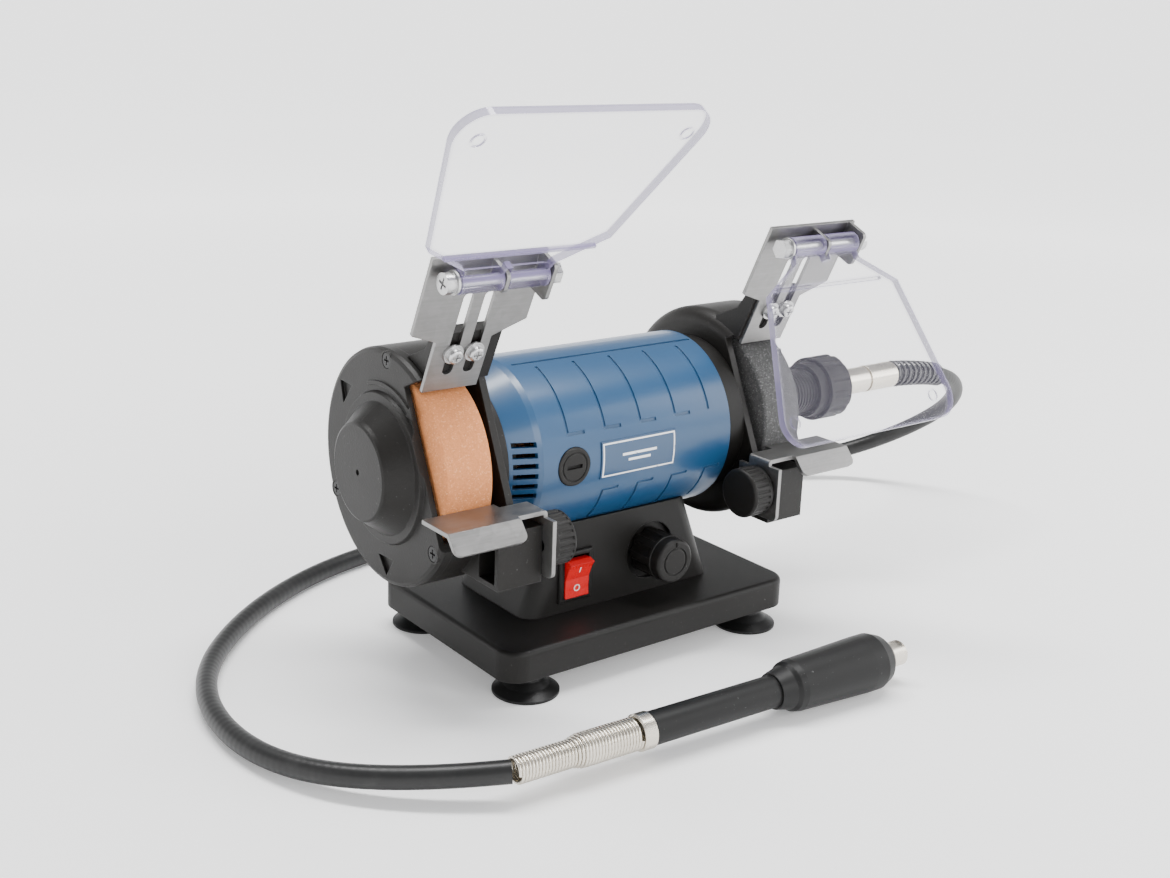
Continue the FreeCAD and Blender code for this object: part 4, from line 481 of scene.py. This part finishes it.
carbon = moulded("pressed_carbon", grey(0.02), grey(0.035), 0.55, 0.0001, 900.0)
board = moulded("lacquered_board", (0.01, 0.10, 0.04, 1.0), (0.015, 0.14, 0.05, 1.0), 0.3)
label = badge_paint("badge_paint")
white_ink = printed("white_ink", (0.80, 0.80, 0.80, 1.0), 0.45)

FINISHES = {
    "black_plastic": black, "black_rubber": rubber, "red_plastic": red, "blue_paint": blue,
    "badge_plate": label, "zinc_steel": zinc, "bright_steel": steel, "nickel": nickel,
    "lamination": sheets, "copper": copper, "brass": brass, "carbon": carbon, "green_board": board,
    "orange_abrasive": orange, "grey_abrasive": grit, "clear_shield": raised_clear,
    "black_sheath": sheath_skin,
}
SPECIAL = {
    "left_guard": shell_black, "right_guard": shell_black, "left_guard_cover": shell_black,
    "right_guard_cover": shell_black, "foot_screws": screw_zinc, "cover_screws": black_screw,
    "left_shield": raised_clear, "right_shield": lowered_clear,
    "deflector_screws": screw_zinc, "left_shield_bolt": screw_zinc, "right_shield_bolt": screw_zinc,
    "handpiece_grip": grip_black, "handpiece_tube": grip_black,
}


def paint(piece, material):
    piece.data.materials.clear()
    piece.data.materials.append(material)


for part in frame["record"]["subparts"]:
    piece = nodes[part["node"]]
    material = SPECIAL.get(part["node"], FINISHES[part["material_slot"]])
    if piece.material_slots:
        for place in piece.material_slots:
            place.link = "OBJECT"
            place.material = material
    else:
        piece.data.materials.append(material)

# ---- pieces on the cord ---------------------------------------------------------------------
paint(sheath, sheath_skin)
paint(strain_coil, spring_steel)
paint(sleeve_coil, nickel)
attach(sheath, "machine")
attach(strain_coil, "machine")
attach(sleeve_coil, "machine")
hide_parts("flex_shaft")
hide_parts("strain_spring")
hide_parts("handpiece_spring")


# ---- printed marks --------------------------------------------------------------------------
def words(name, text, size, place, turn, material, body):
    data = bpy.data.curves.new(name, "FONT")
    data.body = text
    data.size = size
    data.align_x = "CENTER"
    data.align_y = "CENTER"
    data.extrude = 0.00006
    piece = bpy.data.objects.new(name, data)
    bpy.context.scene.collection.objects.link(piece)
    piece.matrix_world = Matrix.Translation(Vector(place)) @ turn
    piece.data.materials.append(material)
    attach(piece, body)
    return piece


facing_front = Matrix.Rotation(math.radians(90), 4, "X")
ROCKER_PIVOT = Vector((-0.0265, -0.0245, 0.036))
ROCKER_TILT = Matrix.Rotation(math.radians(12), 4, "X")
MARK_HEIGHT, MARK_SLOPE = 0.0042, 9.3
for name, text, side in (("rocker_on_mark", "I", 1), ("rocker_off_mark", "O", -1)):
    place = ROCKER_PIVOT + ROCKER_TILT @ Vector((0.0, -0.00397, side * MARK_HEIGHT))
    turn = ROCKER_TILT @ Matrix.Rotation(math.radians(side * MARK_SLOPE), 4, "X") @ facing_front
    words(name, text, 0.0040, place, turn, white_ink, "rocker_body")

# ---- floor and light ------------------------------------------------------------------------
floor_shade = Shade("pale_floor")
floor_cloud = floor_shade.noise(3.0, 3.0)
floor_shade.set("Base Color", floor_shade.blend(floor_cloud, grey(0.88), grey(0.91)))
floor_x, floor_y, floor_z = floor_shade.split(floor_shade.place)
floor_reach = (floor_x ** 2.0 + floor_y ** 2.0) ** 0.5
# Painted light: the floor glows faintly near the machine and strongly far off, so the far floor and the curved
# sweep show white where the lamps do not reach.
painted_floor_glow = floor_reach.above(0.75, 1.1)
floor_shade.shader.inputs["Emission Strength"].default_value = 1.0
floor_shade.set("Emission Color", floor_shade.blend(painted_floor_glow, grey(0.20), grey(1.7)))
floor_shade.set("Roughness", floor_cloud * 0.1 + 0.6)
SIDES = 96
FLAT, CURVE_REACH, CURVE_RISE = 2.6, 2.6, 1.5
profile = [(FLAT, 0.0)]
for step in range(1, 17):
    share = step / 16
    profile.append((FLAT + CURVE_REACH * share, CURVE_RISE * share ** 2))
corners = [(0.0, 0.0, -0.0002)]
for radius, height in profile:
    for side in range(SIDES):
        turn = 2 * math.pi * side / SIDES
        corners.append((radius * math.cos(turn), radius * math.sin(turn), height - 0.0002))
faces = [(0, 1 + side, 1 + (side + 1) % SIDES) for side in range(SIDES)]
for ring in range(len(profile) - 1):
    for side in range(SIDES):
        near, far = 1 + ring * SIDES, 1 + (ring + 1) * SIDES
        following = (side + 1) % SIDES
        faces.append((near + side, far + side, far + following, near + following))
floor_mesh = bpy.data.meshes.new("floor")
floor_mesh.from_pydata(corners, [], faces)
floor_mesh.polygons.foreach_set("use_smooth", [True] * len(floor_mesh.polygons))
floor = bpy.data.objects.new("floor", floor_mesh)
bpy.context.scene.collection.objects.link(floor)
floor.data.materials.append(floor_shade.material)

world = bpy.data.worlds.new("studio")
world.use_nodes = True
WORLD_COLOUR, WORLD_STRENGTH = (0.97, 0.98, 1.0, 1.0), 0.52
background = world.node_tree.nodes["Background"]
background.inputs["Color"].default_value = WORLD_COLOUR
background.inputs["Strength"].default_value = WORLD_STRENGTH
bpy.context.scene.world = world


def lamp(name, place, target, size, power):
    data = bpy.data.lights.new(name, "AREA")
    data.shape = "RECTANGLE"
    data.size, data.size_y = size
    data.energy = power
    piece = bpy.data.objects.new(name, data)
    bpy.context.scene.collection.objects.link(piece)
    direction = Vector(place) - Vector(target)
    turn = direction.to_track_quat("Z", "Y").to_matrix().to_4x4()
    piece.matrix_world = Matrix.Translation(Vector(place)) @ turn


lamp("key", (0.15, -1.25, 0.70), (0, 0, 0.08), (0.9, 0.5), 9.0)
lamp("top", (0.1, 0.10, 1.15), (0, 0, 0.1), (1.3, 0.2), 26.0)
lamp("side", (-1.0, 0.1, 0.55), (0, 0, 0.08), (0.4, 0.6), 1.0)
lamp("right", (0.9, -0.6, 0.5), (0, 0, 0.08), (0.5, 0.6), 5.0)
